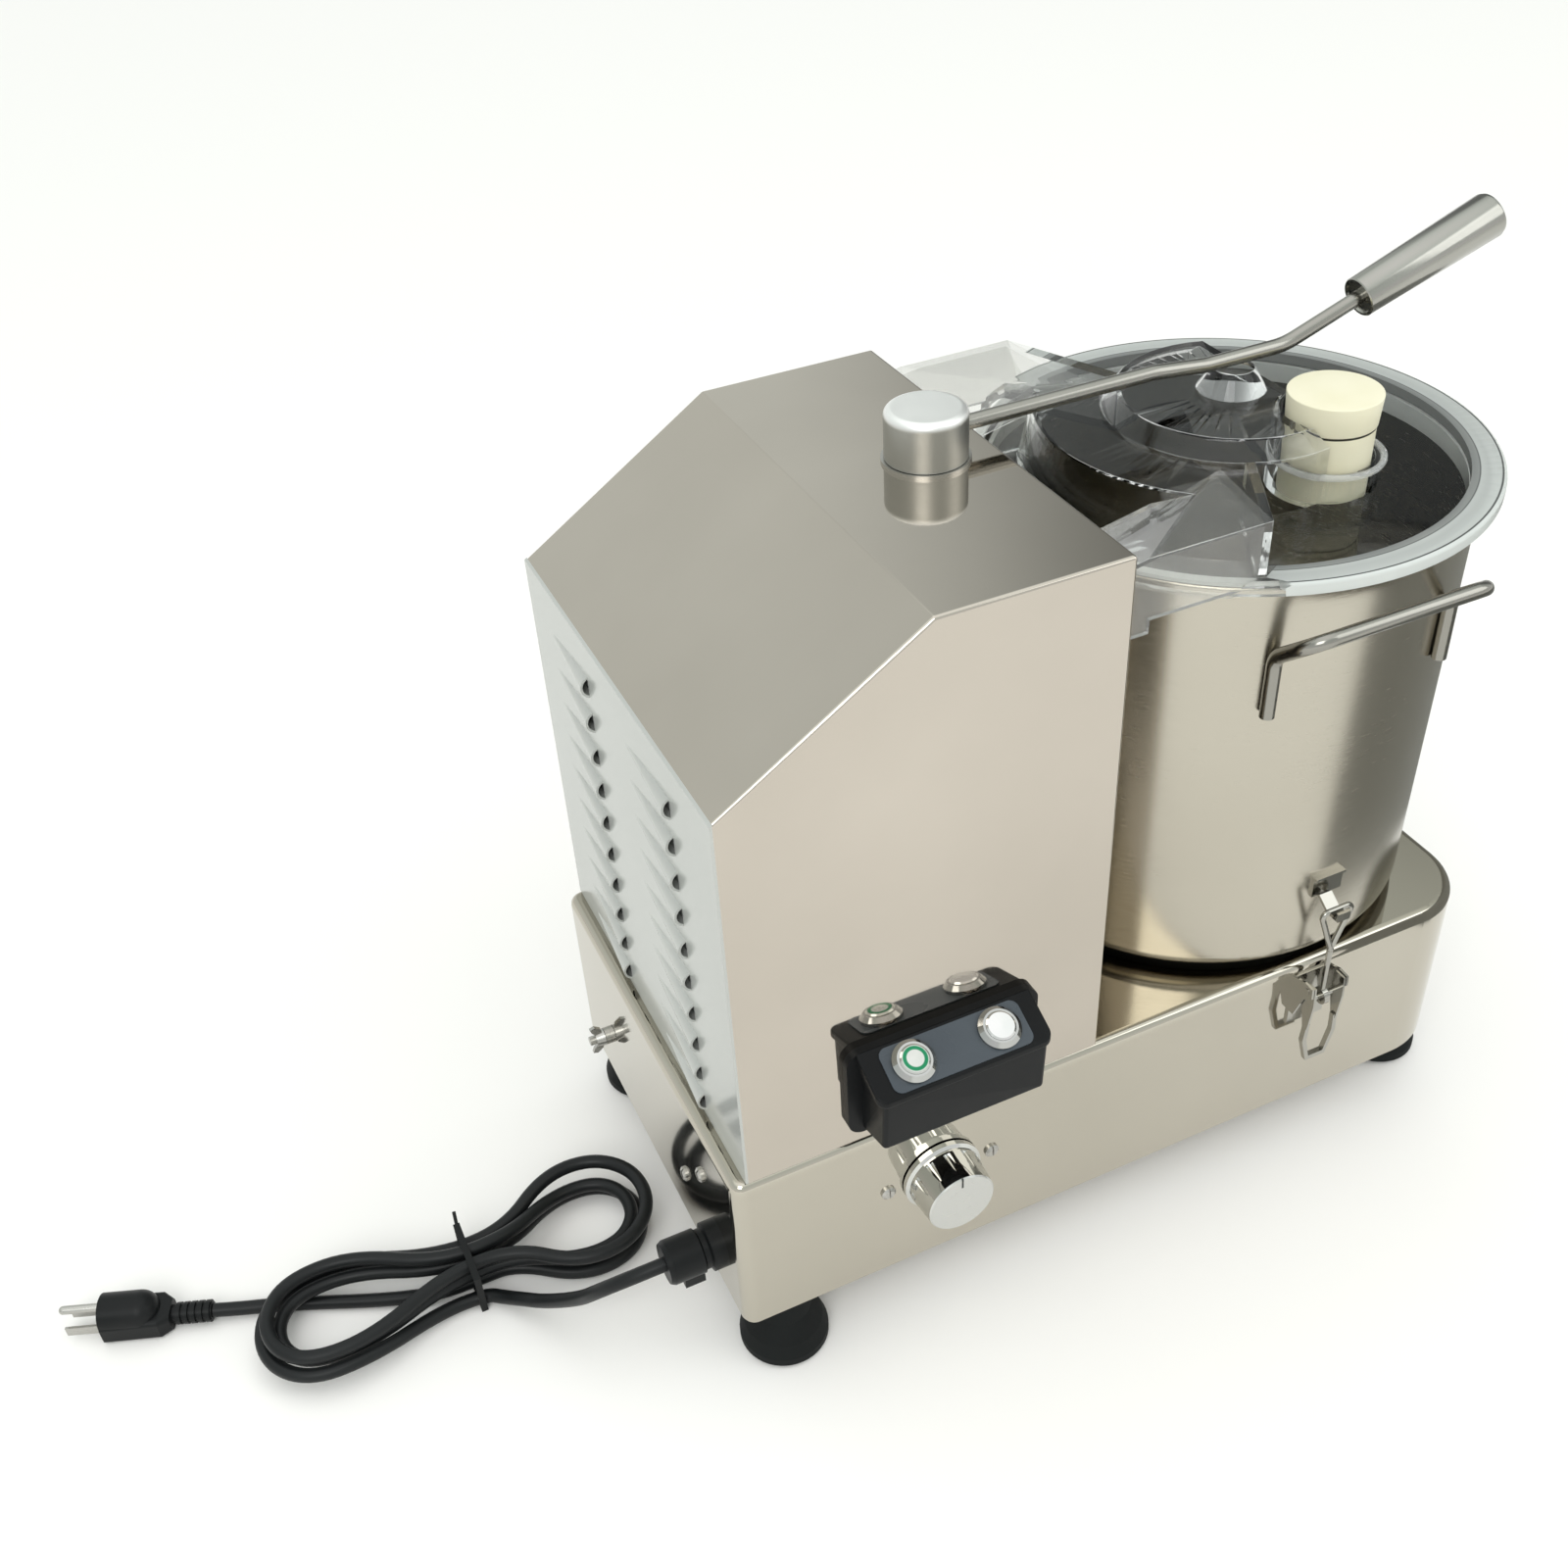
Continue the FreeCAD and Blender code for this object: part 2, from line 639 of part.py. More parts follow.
def make_lid():
    plate = lid_top - D["lid_recess"]
    plug = D["lid_plug_radius"]
    skirt = D["lid_radius"] - lid_wall
    rim_low = lid_top - 3.5
    profile = [(0, plate - lid_wall), (plug, plate - lid_wall), (plug, rim_low), (skirt, rim_low),
               (skirt, lid_top - D["lid_skirt"]), (D["lid_radius"], lid_top - D["lid_skirt"]),
               (D["lid_radius"], lid_top), (plug - lid_wall, lid_top), (plug - lid_wall, plate), (0, plate)]
    disc = turned("lid_disc", profile, (bowl_x, 0, 0))
    rounded(disc, 2, lambda edge, mid: near(math.hypot(mid.x, mid.y), D["lid_radius"]) and near(mid.z, lid_top))
    solids = [disc] + hood("hood", 0)
    hollows = hood("hood_hollow", lid_wall)
    for side, word in ((-1, "front"), (1, "back")):
        solids.append(wing(f"wing_{word}", side, sized(0), lid_top - 3.5))
        hollows.append(wing(f"wing_hollow_{word}", side, lid_wall, lid_top - 8))
        tab_side = D["wing_half"] * -1 if side < 0 else D["wing_half"] - lid_wall
        solids.append(box(f"wing_tab_{word}", (14, lid_wall, 13), (housing_right + 2, tab_side, lid_top - 11)))
    nub_low = base_top + D["tier_two_rise"] - 1
    nub_top = base_top + D["nub_rise"]
    solids.append(cone("lid_nub", 19, 11, nub_top - nub_low, (bowl_x, 0, nub_low)))
    feed_top = base_top + D["feed_rise"]
    wall_out = D["feed_bore"] + lid_wall
    solids.append(rod("feed_wall", wall_out, feed_top - plate + 1, (feed_x, feed_y, plate - 1)))
    solids.append(cone("feed_collar", wall_out, wall_out + 2.6, 3, (feed_x, feed_y, feed_top - 3)))
    bore = rod("feed_hole", D["feed_bore"], 80, (feed_x, feed_y, plate - 20))
    shell = cut("lid_hollowed", fuse("lid_fused", solids), hollows)
    rewall = fuse("lid_walled", [shell, rod("feed_inner_wall", wall_out, feed_top - plate + lid_wall, (feed_x, feed_y, plate - lid_wall))])
    named(cut("lid_cut", rewall, [bore]), "lid")
    ring = [(plug + 1.5, bowl_top), (plug + 7, bowl_top), (plug + 7, rim_low), (plug + 1.5, rim_low)]
    named(turned("lid_seal_body", ring, (bowl_x, 0, 0)), "lid_seal")


def make_stopper():
    top = base_top + D["stopper_top"]
    head_low = base_top + D["feed_rise"] + spring_gap
    low = lid_top - D["lid_recess"] - lid_wall - 2
    neck = D["stopper_radius"] - 1.2
    profile = [(0, low), (D["stopper_radius"] - 2, low), (D["stopper_radius"], low + 2),
               (D["stopper_radius"], head_low - 4), (neck, head_low - 3), (neck, head_low),
               (D["stopper_head"], head_low), (D["stopper_head"], top), (0, top)]
    stopper = turned("stopper_body", profile, (feed_x, feed_y, 0))
    rounded(stopper, 3, ring_at(D["stopper_head"], top))
    named(stopper, "feed_stopper")


# Locking arm


def make_arm():
    flange = 1.6
    cap_low = roof + flange + spring_gap
    cap_top = roof + D["post_height"]
    pin = D["arm_pin_radius"]
    profile = [(pin, cap_low), (D["post_radius"], cap_low), (D["post_radius"], cap_top), (0, cap_top),
               (0, cap_top - 9), (pin, cap_top - 9)]
    cap = turned("cap_blank", profile, (post_x, 0, 0))
    rounded(cap, 4, ring_at(D["post_radius"], cap_top))
    socket = rod("cap_socket", D["arm_rod"] / 2, 40, (post_x + pin + 2, 0, arm_level), TO_X)
    named(cut("cap_cut", cap, [socket]), "arm_cap")

    start = float(post_x + pin + 2)
    level = float(arm_level)
    low = level - float(D["arm_dip"])
    tip = (float(bowl_x) + 160, level + 41)
    bend = (float(bowl_x) + 31.5, low)
    slope = math.atan2(tip[1] - bend[1], tip[0] - bend[0])
    grip = float(D["arm_grip_length"])
    grip_start = (tip[0] - grip * math.cos(slope), tip[1] - grip * math.sin(slope))
    inside = 30
    rod_end = (grip_start[0] + inside * math.cos(slope), grip_start[1] + inside * math.sin(slope))
    points = points_of((start, 0, level), (float(bowl_x) - 50, 0, level), (float(bowl_x) - 18, 0, low),
                       (bend[0], 0, low), (rod_end[0], 0, rod_end[1]))
    path, radii = bent_path(points, wire_bend(40))
    named(solid("arm_rod_bar", tube(path, float(D["arm_rod"]))), "arm_rod")

    small = D["arm_grip_small"]
    large = D["arm_grip_large"]
    bore = D["arm_rod"] / 2
    grip_profile = [(bore, 0), (small - 1, 0), (small, 1.2), (large, D["arm_grip_length"] - 3),
                    (large - 2.5, D["arm_grip_length"]), (0, D["arm_grip_length"]), (0, inside), (bore, inside)]
    along = Rotation(Vector(0, 1, 0), 90 - math.degrees(slope))
    named(turned("grip_body", grip_profile, (grip_start[0], 0, grip_start[1]), along), "arm_handle")

    shaft_low = roof - 36
    pin_profile = [(0, shaft_low), (pin, shaft_low), (pin, cap_top - 9), (0, cap_top - 9)]
    shaft = turned("arm_pin", pin_profile, (post_x, 0, 0))
    lobe = rod("arm_lobe", 13, 8, (post_x - 4, 0, shaft_low))
    named(fuse("arm_shaft_fused", [shaft, lobe]), "arm_shaft")

    bush = [(pin + D["running_gap"], roof - 20), (11, roof - 20), (11, roof), (D["post_radius"] + 1.5, roof),
            (D["post_radius"] + 1.5, roof + flange), (pin + D["running_gap"], roof + flange)]
    named(turned("bush_body", bush, (post_x, 0, 0)), "arm_bush")
    switch_box = box("switch_case", (12, 28, 34.5), (post_x - 36, -14, roof - sheet_metal - 34.5))
    plunger = rod("switch_plunger", 2.5, 7.6, (post_x - 25, 0, shaft_low + 4), TO_X)
    named(fuse("switch_fused", [switch_box, plunger]), "interlock_switch")


# Control box with its two push buttons, and the speed knob

panel_middle = (D["panel_axis"], housing_front - D["panel_out"], base_top + D["panel_lift"])
panel_turn = Rotation(Vector(1, 0, 0), float(D["panel_tilt"]))
panel_skin = 0.8
bezel_depth = 18


def button_places():
    half = D["button_spacing"] / 2
    return [(panel_middle[0] - half,) + panel_middle[1:], (panel_middle[0] + half,) + panel_middle[1:]]


def make_control_box():
    """A console on the front wall: a sloped top with a steep nose under it, on a flange with round corners."""
    level = float(panel_middle[2])
    slope = math.tan(math.radians(float(D["panel_tilt"])))
    nose = housing_front - D["control_nose"]
    wall_level = level + D["panel_out"] * slope
    nose_level = level - (D["control_nose"] - D["panel_out"]) * slope
    low = base_top + 10.5
    wide = D["control_width"]
    below = [(housing_front, low), (nose + 3, low + 9), (nose + 1, nose_level - 3), (housing_front, wall_level - 3)]
    body = padded("control_body", "YZ_Plane", below, wide - 6, (D["panel_axis"], 0, 0), midplane=True)
    rounded(body, 2.5, lambda edge, mid: mid.y < float(housing_front) - 0.5 and mid.z < float(nose_level) - 4)
    lip = [(housing_front, wall_level), (nose, nose_level), (nose, nose_level - 5), (housing_front, wall_level - 7)]
    cap = padded("control_cap", "YZ_Plane", lip, wide, (D["panel_axis"], 0, 0), midplane=True)
    rounded(cap, 6, lambda edge, mid: near(edge.Length, 5))
    rounded(cap, 1.2, lambda edge, mid: mid.y < float(housing_front) - 0.5 and mid.z > float(nose_level) - 1)
    rim_wide = wide + 11
    rim_top = wall_level + 7
    rim = [(-rim_wide / 2, low), (rim_wide / 2, low), (rim_wide / 2, rim_top), (-rim_wide / 2, rim_top)]
    rim_depth = 4.4
    flange = padded("control_flange", "XZ_Plane", rim, rim_depth, (D["panel_axis"], housing_front, 0))
    rounded(flange, 9, lambda edge, mid: near(edge.Length, rim_depth))
    bores = []
    for number, at in enumerate(button_places()):
        deep = panel_turn.multVec(Vector(0, 0, -bezel_depth - 1))
        start = (at[0], at[1] + deep.y, at[2] + deep.z)
        bores.append(rod(f"button_bore_{number}", 9.6, 40, start, panel_turn))
    named(cut("control_cut", fuse("control_fused", [body, cap, flange]), bores), "control_box")

    face = [(-40.3, -13), (40.3, -13), (40.3, 12.2), (-40.3, 12.2)]
    panel = padded("panel_blank", "XY_Plane", face, panel_skin, panel_middle, panel_turn)
    rounded(panel, 5, lambda edge, mid: upright(edge))
    holes = [rod(f"panel_hole_{number}", 9.6, 4, at, panel_turn) for number, at in enumerate(button_places())]
    lifted = panel_turn.multVec(Vector(0, 0, 2))
    for hole, at in zip(holes, button_places()):
        place(hole, (at[0], at[1] - lifted.y, at[2] - lifted.z), panel_turn)
    named(cut("panel_cut", panel, holes), "control_panel")


def make_buttons():
    skin = panel_skin
    bore = D["button_radius"] + 0.1
    rings = []
    caps = []
    for number, at in enumerate(button_places()):
        ring = [(0, -bezel_depth), (9.4, -bezel_depth), (9.4, skin), (D["bezel_radius"], skin),
                (D["bezel_radius"], skin + 2), (bore + 1.2, skin + 4.4), (bore, skin + 4.4), (bore, -12), (0, -12)]
        rings.append(turned(f"bezel_{number}", ring, at, panel_turn))
        button = [(0, -8), (D["button_radius"], -8), (D["button_radius"], skin + 4.6),
                  (D["button_radius"] - 1, skin + 5.4), (0, skin + 5.8)]
        caps.append(turned(f"button_{number}", button, at, panel_turn))
    named(group("bezel_group", rings), "button_bezels")
    named(caps[0], "start_button")
    named(caps[1], "stop_button")


def make_speed_control():
    at = (D["knob_axis"], base_front, base_top - D["knob_drop"])
    long = D["knob_length"]
    skirt = D["knob_skirt"]
    grip = D["knob_radius"]
    stem = 3
    profile = [(0, -16), (stem, -16), (stem, 0.8), (skirt, 0.8), (skirt, 3.6), (grip + 1.6, 4.8),
               (grip + 1.6, 6), (grip, long + 0.2), (grip - 0.8, long + 1), (0, long + 1)]
    knob = turned("knob_blank", profile, at, TO_FRONT)
    flutes = []
    for step in range(12):
        angle = math.radians(30 * step)
        reach = float(grip) + 3.4
        place_x = at[0] + reach * math.cos(angle)
        place_z = at[2] + reach * math.sin(angle)
        flutes.append(rod(f"knob_flute_{step}", 3, 12, (place_x, base_front - 7, place_z), TO_FRONT))
    named(cut("knob_cut", knob, flutes), "speed_knob")
    sleeve = [(stem + D["running_gap"], -14), (12, -14), (12, -2.2), (7, -2.2), (7, -1.5), (4.4, -1.5),
              (4.4, 0.4), (stem + D["running_gap"], 0.4)]
    case = [(0, -20), (12, -20), (12, -17), (0, -17)]
    ring = [(stem + 1, -17.5), (12, -17.5), (12, -13.5), (stem + 1, -13.5)]
    pot = fuse("pot_fused", [turned("pot_sleeve", sleeve, at, TO_FRONT), turned("pot_back", case, at, TO_FRONT),
                             turned("pot_ring", ring, at, TO_FRONT)])
    named(pot, "potentiometer")


def make_case_screws():
    screws = []
    for number, (x, y, z, turn) in enumerate(SCREW_PLACES):
        profile = [(0, -6), (screw_shank, -6), (screw_shank, 0), (4.3, 0), (4.3, 1.2), (2.8, 2.4), (0, 2.4)]
        blank = turned(f"screw_blank_{number}", profile, (x, y, z), turn)
        outward = turn.multVec(Vector(0, 0, 1.2))
        slot_size = (0.9, 2, 9) if turn is TO_FRONT else (2, 0.9, 9)
        corner = [float(sized(v)) for v in (x, y, z)]
        start = [corner[0] + outward.x - slot_size[0] / 2, corner[1] + outward.y - slot_size[1] / 2, corner[2] - 4.5]
        if turn is TO_FRONT:
            start[1] = corner[1] + outward.y - slot_size[1]
        else:
            start[0] = corner[0] + outward.x - slot_size[0]
        screws.append(cut(f"screw_{number}", blank, [box(f"screw_slot_{number}", slot_size, start)]))
    named(group("screw_group", screws), "case_screws")


# Toggle latches


def make_latches():
    wall = D["base_width"] / 2
    out = wall + D["latch_pivot_out"]
    level = D["latch_pivot_height"]
    toggle = math.radians(float(D["latch_toggle"]))
    pin_y = -float(out) + float(D["latch_arm"]) * math.sin(toggle)
    pin_z = float(level) - float(D["latch_arm"]) * math.cos(toggle)
    pivot_radius = 1.9
    pin_radius = 1.8
    for side, turn in (("front", Rotation()), ("back", HALF_TURN)):
        make_latch_bracket(side, turn, wall, out, level, pivot_radius)
        make_latch_lever(side, turn, out, level, (pin_y, pin_z), pivot_radius, pin_radius)
        make_latch_bail(side, turn, (pin_y, pin_z), pin_radius)


def make_latch_bracket(side, turn, wall, out, level, pivot_radius):
    gauge = 1.5
    inner = 11.4
    ear = [(-wall, level - 26), (-wall, level + 1), (-out + 3, level + 4.5), (-out - 4, level + 4),
           (-out - 4.5, level - 3), (-out + 2, level - 8), (-wall - 5, level - 26)]
    ears = []
    for word, x in (("left", -inner - gauge), ("right", inner)):
        ears.append(padded(f"latch_ear_{side}_{word}", "YZ_Plane", ear, gauge, (x, 0, 0)))
    back = box(f"latch_back_{side}", (inner * 2 + gauge * 2, gauge, 38), (-inner - gauge, -wall - gauge, level - 37))
    hole = rod(f"latch_hole_{side}", pivot_radius + D["running_gap"], 40, (-20, -out, level), TO_X)
    bracket = cut(f"latch_bracket_{side}_cut", fuse(f"latch_bracket_{side}_fused", ears + [back]), [hole])
    named(place(bracket, (bowl_x, 0, 0), turn), f"latch_bracket_{side}")


def make_latch_lever(side, turn, out, level, pin, pivot_radius, pin_radius):
    gauge = 1.3
    inner = 9.6
    cheek = [(-out + 3.5, level + 3.5), (-out - 4, level + 3.5), (-out - 5, level - 10), (-out - 3, level - 30),
             (-out + 1, level - 30), (-out + 4.5, level - 14)]
    pieces = []
    for word, x in (("left", -inner - gauge), ("right", inner)):
        pieces.append(padded(f"lever_cheek_{side}_{word}", "YZ_Plane", cheek, gauge, (x, 0, 0)))
        stub_at = -inner - 3.6 if word == "left" else inner
        pieces.append(rod(f"lever_stub_{side}_{word}", pivot_radius, 3.6, (stub_at, -out, level), TO_X))
    pieces.append(rod(f"lever_pin_{side}", pin_radius, inner * 2 + 1, (-inner - 0.5, pin[0], pin[1]), TO_X))
    loop = [(-10.9, level - 27), (10.9, level - 27), (12, level - 40), (7, level - 58), (-7, level - 58), (-12, level - 40)]
    hollow = [(-8.4, level - 26), (8.4, level - 26), (9, level - 39.6), (5.2, level - 55), (-5.2, level - 55), (-9, level - 39.6)]
    ring = padded(f"lever_loop_{side}", "XZ_Plane", loop, 3.4, (0, -out + 0.6, 0))
    window = padded(f"lever_window_{side}", "XZ_Plane", hollow, 10, (0, -out + 4, 0))
    pieces.append(cut(f"lever_ring_{side}", ring, [window]))
    lever = fuse(f"latch_lever_{side}_fused", pieces)
    named(place(lever, (bowl_x, 0, 0), turn), f"latch_lever_{side}")


def make_latch_bail(side, turn, pin, pin_radius):
    wire = float(D["bail_wire"])
    bar_y = -float(D["base_width"]) / 2 - float(D["bail_bar_out"])
    bar_z = float(D["bail_bar_height"])
    fork_z = float(D["bail_fork_height"])
    half = float(D["bail_half_width"])
    eye_radius = pin_radius + float(D["running_gap"]) + wire / 2
    share = (fork_z - pin[1]) / (bar_z - pin[1])
    fork = Vector(0, pin[0] + (bar_y - pin[0]) * share, fork_z)
    bar_ends = points_of((-half, bar_y, bar_z), (half, bar_y, bar_z))
    leg_starts = [fork + (corner - fork) * 0.35 for corner in bar_ends]
    loop, radii = bent_path([leg_starts[0]] + bar_ends + [leg_starts[1]], wire_bend(3.2))
    legs = []
    for leg_start in leg_starts:
        legs.append(Part.makeCylinder(wire / 2, (leg_start - fork).Length, fork, leg_start - fork))
    foot = Vector(0, pin[0], pin[1])
    stem_start = foot + (fork - foot).normalize() * eye_radius
    stem = Part.makeCylinder(wire / 2, (fork - stem_start).Length, stem_start, fork - stem_start)
    eye = Part.makeCylinder(eye_radius + wire / 2, wire, foot - Vector(wire / 2, 0, 0), Vector(1, 0, 0))
    bore = Part.makeCylinder(pin_radius + float(D["running_gap"]), wire * 2, foot - Vector(wire, 0, 0), Vector(1, 0, 0))
    knot = Part.makeSphere(wire / 2 + 0.4, fork)
    shape = tube(loop, wire).fuse(legs + [stem, eye, knot]).cut(bore)
    named(solid(f"latch_bail_{side}_wire", shape, (bowl_x, 0, 0), turn), f"latch_bail_{side}")


# Motor, belt and spindle


def make_motor():
    plate_top_level = base_top + 4
    top = plate_top_level + D["motor_height"]
    wide = D["motor_radius"]
    pin = D["motor_pin"]
    plate = box("motor_plate_blank", (170, 176, 4), (motor_x - 85, -88, base_top))
    named(cut("motor_plate_cut", plate, [rod("motor_plate_hole", 34, 20, (motor_x, 0, base_top - 5))]), "motor_plate")
    bore = pin + D["running_gap"]
    profile = [(bore, plate_top_level), (wide + 14, plate_top_level), (wide + 14, plate_top_level + 8), (wide - 6, plate_top_level + 14)]
    fin_low = plate_top_level + 30
    for fin in range(8):
        level = fin_low + 14 * fin
        profile += [(wide - 6, level), (wide, level), (wide, level + 8), (wide - 6, level + 8)]
    profile += [(wide - 6, top - 12), (wide - 18, top), (bore, top)]
    named(turned("motor_case", profile, (motor_x, 0, 0)), "motor_body")
    shaft = [(0, D["belt_level"] - 18), (pin, D["belt_level"] - 18), (pin, top + 20), (0, top + 20)]
    named(turned("motor_pin_body", shaft, (motor_x, 0, 0)), "motor_shaft")
    hub = rod("fan_hub", 16, 14, (motor_x, 0, top + 4))
    vanes = [hub, rod("fan_disc", 50, 2, (motor_x, 0, top + 4))]
    for vane in range(7):
        turn = Rotation(Vector(0, 0, 1), 360 / 7 * vane)
        vanes.append(box(f"fan_vane_{vane}", (36, 2, 12), (motor_x + turn.multVec(Vector(13, 0, 0)).x,
                                                           sized(turn.multVec(Vector(13, 0, 0)).y), top + 5), turn))
    fan = cut("fan_cut", fuse("fan_fused", vanes), [rod("fan_bore", pin, 40, (motor_x, 0, top - 5))])
    named(fan, "motor_fan")
    make_pulley("motor_pulley", motor_x, D["motor_groove"], pin)


def make_pulley(label, x, groove, bore):
    half = D["belt_width"] / 2 + 0.4
    lip = groove + D["belt_depth"] - 1
    level = D["belt_level"]
    profile = [(bore, level - half - 5), (lip, level - half - 5), (lip, level - half - 1), (groove, level - half),
               (groove, level + half), (lip, level + half + 1), (lip, level + half + 5), (bore, level + half + 5)]
    named(turned(label + "_wheel", profile, (x, 0, 0)), label)


def belt_ring(low_radius, high_radius, distance):
    """The outline round two pulleys: two arcs and their outer tangents."""
    lean = math.asin((low_radius - high_radius) / distance)
    touch = math.pi / 2 - lean
    def rim(centre, radius, angle):
        return Vector(centre + radius * math.cos(angle), radius * math.sin(angle), 0)
    left_up = rim(0, low_radius, touch)
    left_down = rim(0, low_radius, -touch)
    right_up = rim(distance, high_radius, touch)
    right_down = rim(distance, high_radius, -touch)
    edges = [Part.LineSegment(left_up, right_up).toShape(),
             Part.Arc(right_up, rim(distance, high_radius, 0), right_down).toShape(),
             Part.LineSegment(right_down, left_down).toShape(),
             Part.Arc(left_down, rim(0, low_radius, math.pi), left_up).toShape()]
    return Part.Face(Part.Wire(edges))


def make_belt():
    distance = float(bowl_x - motor_x)
    small = float(D["motor_groove"]) + spring_gap
    large = float(D["spindle_groove"]) + spring_gap
    deep = float(D["belt_depth"])
    outer = belt_ring(small + deep, large + deep, distance)
    inner = belt_ring(small, large, distance)
    shape = outer.cut(inner).extrude(Vector(0, 0, float(D["belt_width"])))
    named(solid("belt_loop", shape, (motor_x, 0, D["belt_level"] - D["belt_width"] / 2)), "drive_belt")


def make_spindle():
    gap = D["running_gap"]
    shaft = D["spindle_radius"]
    ceiling = base_top - sheet_metal
    bearing = D["bearing_radius"]
    hub_seat = bowl_floor + D["tube_height"] + 3
    low = D["belt_level"] - 18
    profile = [(0, low), (shaft, low), (shaft, hub_seat), (10, hub_seat), (10, hub_seat + 14),
               (5, hub_seat + 14), (5, hub_seat + 32), (0, hub_seat + 32)]
    named(turned("spindle_bar", profile, (bowl_x, 0, 0)), "spindle_shaft")
    make_pulley("spindle_pulley", bowl_x, D["spindle_groove"], shaft)
    bottom = ceiling - 62
    case = [(20, bottom), (36, bottom), (36, ceiling - 18), (44, ceiling - 8), (62, ceiling - 8), (62, ceiling),
            (33.6, ceiling), (33.6, ceiling + 6), (bearing, ceiling + 6), (bearing, ceiling - 14), (20, ceiling - 14),
            (20, bottom + 22), (bearing, bottom + 22), (bearing, bottom + 3), (20, bottom + 3)]
    named(turned("bearing_case", case, (bowl_x, 0, 0)), "bearing_housing")
    rings = []
    for number, level in enumerate((bottom + 5, ceiling - 13.5)):
        ring = [(shaft + gap, level), (19, level), (19, level + 1), (21, level + 1), (21, level), (bearing - gap, level),
                (bearing - gap, level + 15), (21, level + 15), (21, level + 14), (19, level + 14), (19, level + 15),
                (shaft + gap, level + 15)]
        rings.append(turned(f"bearing_{number}", ring, (bowl_x, 0, 0)))
    named(group("bearing_group", rings), "spindle_bearings")
    make_blades(hub_seat)


def blade_arm(reach, sweep):
    """One crescent blade in plan: a convex cutting edge and a shallower back edge."""
    root = float(D["hub_radius"]) + 3
    tip = Vector(reach * math.cos(sweep), reach * math.sin(sweep), 0)
    heel = Vector(root * 0.7, -root * 0.72, 0)
    toe = Vector(root * 0.6, root * 0.8, 0)
    belly = Vector(reach * 0.72, -reach * 0.13, 0)
    spine = Vector(reach * 0.62, reach * 0.2, 0)
    end = tip + Vector(-7, 2, 0)
    edges = [Part.Arc(heel, belly, tip).toShape(), Part.LineSegment(tip, end).toShape(),
             Part.Arc(end, spine, toe).toShape(), Part.LineSegment(toe, heel).toShape()]
    return Part.Face(Part.Wire(edges))


def blade(level, angle):
    """A pair of crescent blades on a ring round the hub."""
    thick = float(D["blade_thickness"])
    hub = float(D["hub_radius"])
    reach = float(D["blade_reach"])
    arm = blade_arm(reach, math.radians(24)).extrude(Vector(0, 0, thick))
    cutting = [edge for edge in arm.Edges if near(edge.CenterOfMass.z, thick, 0.1) and edge.CenterOfMass.y < -1]
    arm = arm.makeChamfer(thick - 0.6, thick * 1.6, cutting)
    twin = arm.copy()
    twin.rotate(Vector(0, 0, 0), Vector(0, 0, 1), 180)
    ring = Part.makeCylinder(hub + 9, thick)
    shape = ring.fuse([arm, twin]).cut(Part.makeCylinder(hub, thick)).removeSplitter()
    shape.rotate(Vector(0, 0, 0), Vector(0, 0, 1), angle)
    return solid(f"blade_{angle}", shape, (bowl_x, 0, level))


def make_blades(hub_seat):
    hub = D["hub_radius"]
    low = bowl_floor + 10
    inside = D["tube_radius"] + 1.6
    profile = [(inside, low), (hub + 4, low), (hub + 4, low + 5), (hub, low + 5), (hub, hub_seat + 8),
               (hub - 6, hub_seat + 14), (10, hub_seat + 14), (10, hub_seat), (inside, hub_seat)]
    named(turned("hub_sleeve", profile, (bowl_x, 0, 0)), "blade_hub")
    named(blade(low + 5, 15), "lower_blade")
    spacer_top = low + 36
    named(blade(spacer_top, 105), "upper_blade")
    ring = [(hub, low + 5 + D["blade_thickness"]), (hub + 5, low + 5 + D["blade_thickness"]), (hub + 5, spacer_top), (hub, spacer_top)]
    named(turned("spacer_sleeve", ring, (bowl_x, 0, 0)), "blade_spacer")
    cap_low = hub_seat + 14
    cap = [(5, cap_low), (15, cap_low), (18, cap_low + 6), (18, cap_low + 16), (13, cap_low + 22), (0, cap_low + 22),
           (0, cap_low + 19), (5, cap_low + 19)]
    named(turned("cap_nut", cap, (bowl_x, 0, 0)), "blade_cap")


def make_speed_board():
    level = plate_top
    fins = [(-40, 0), (40, 0), (40, 4)]
    for fin in range(10):
        x = 36 - 8 * fin
        fins += [(x + 2, 4), (x + 2, 13), (x - 1, 13), (x - 1, 4)]
    fins += [(-40, 4)]
    named(padded("heat_sink", "XZ_Plane", fins, 60, (sized(-170), sized(-28), level)), "speed_board")


# Mains entry, cord and plug


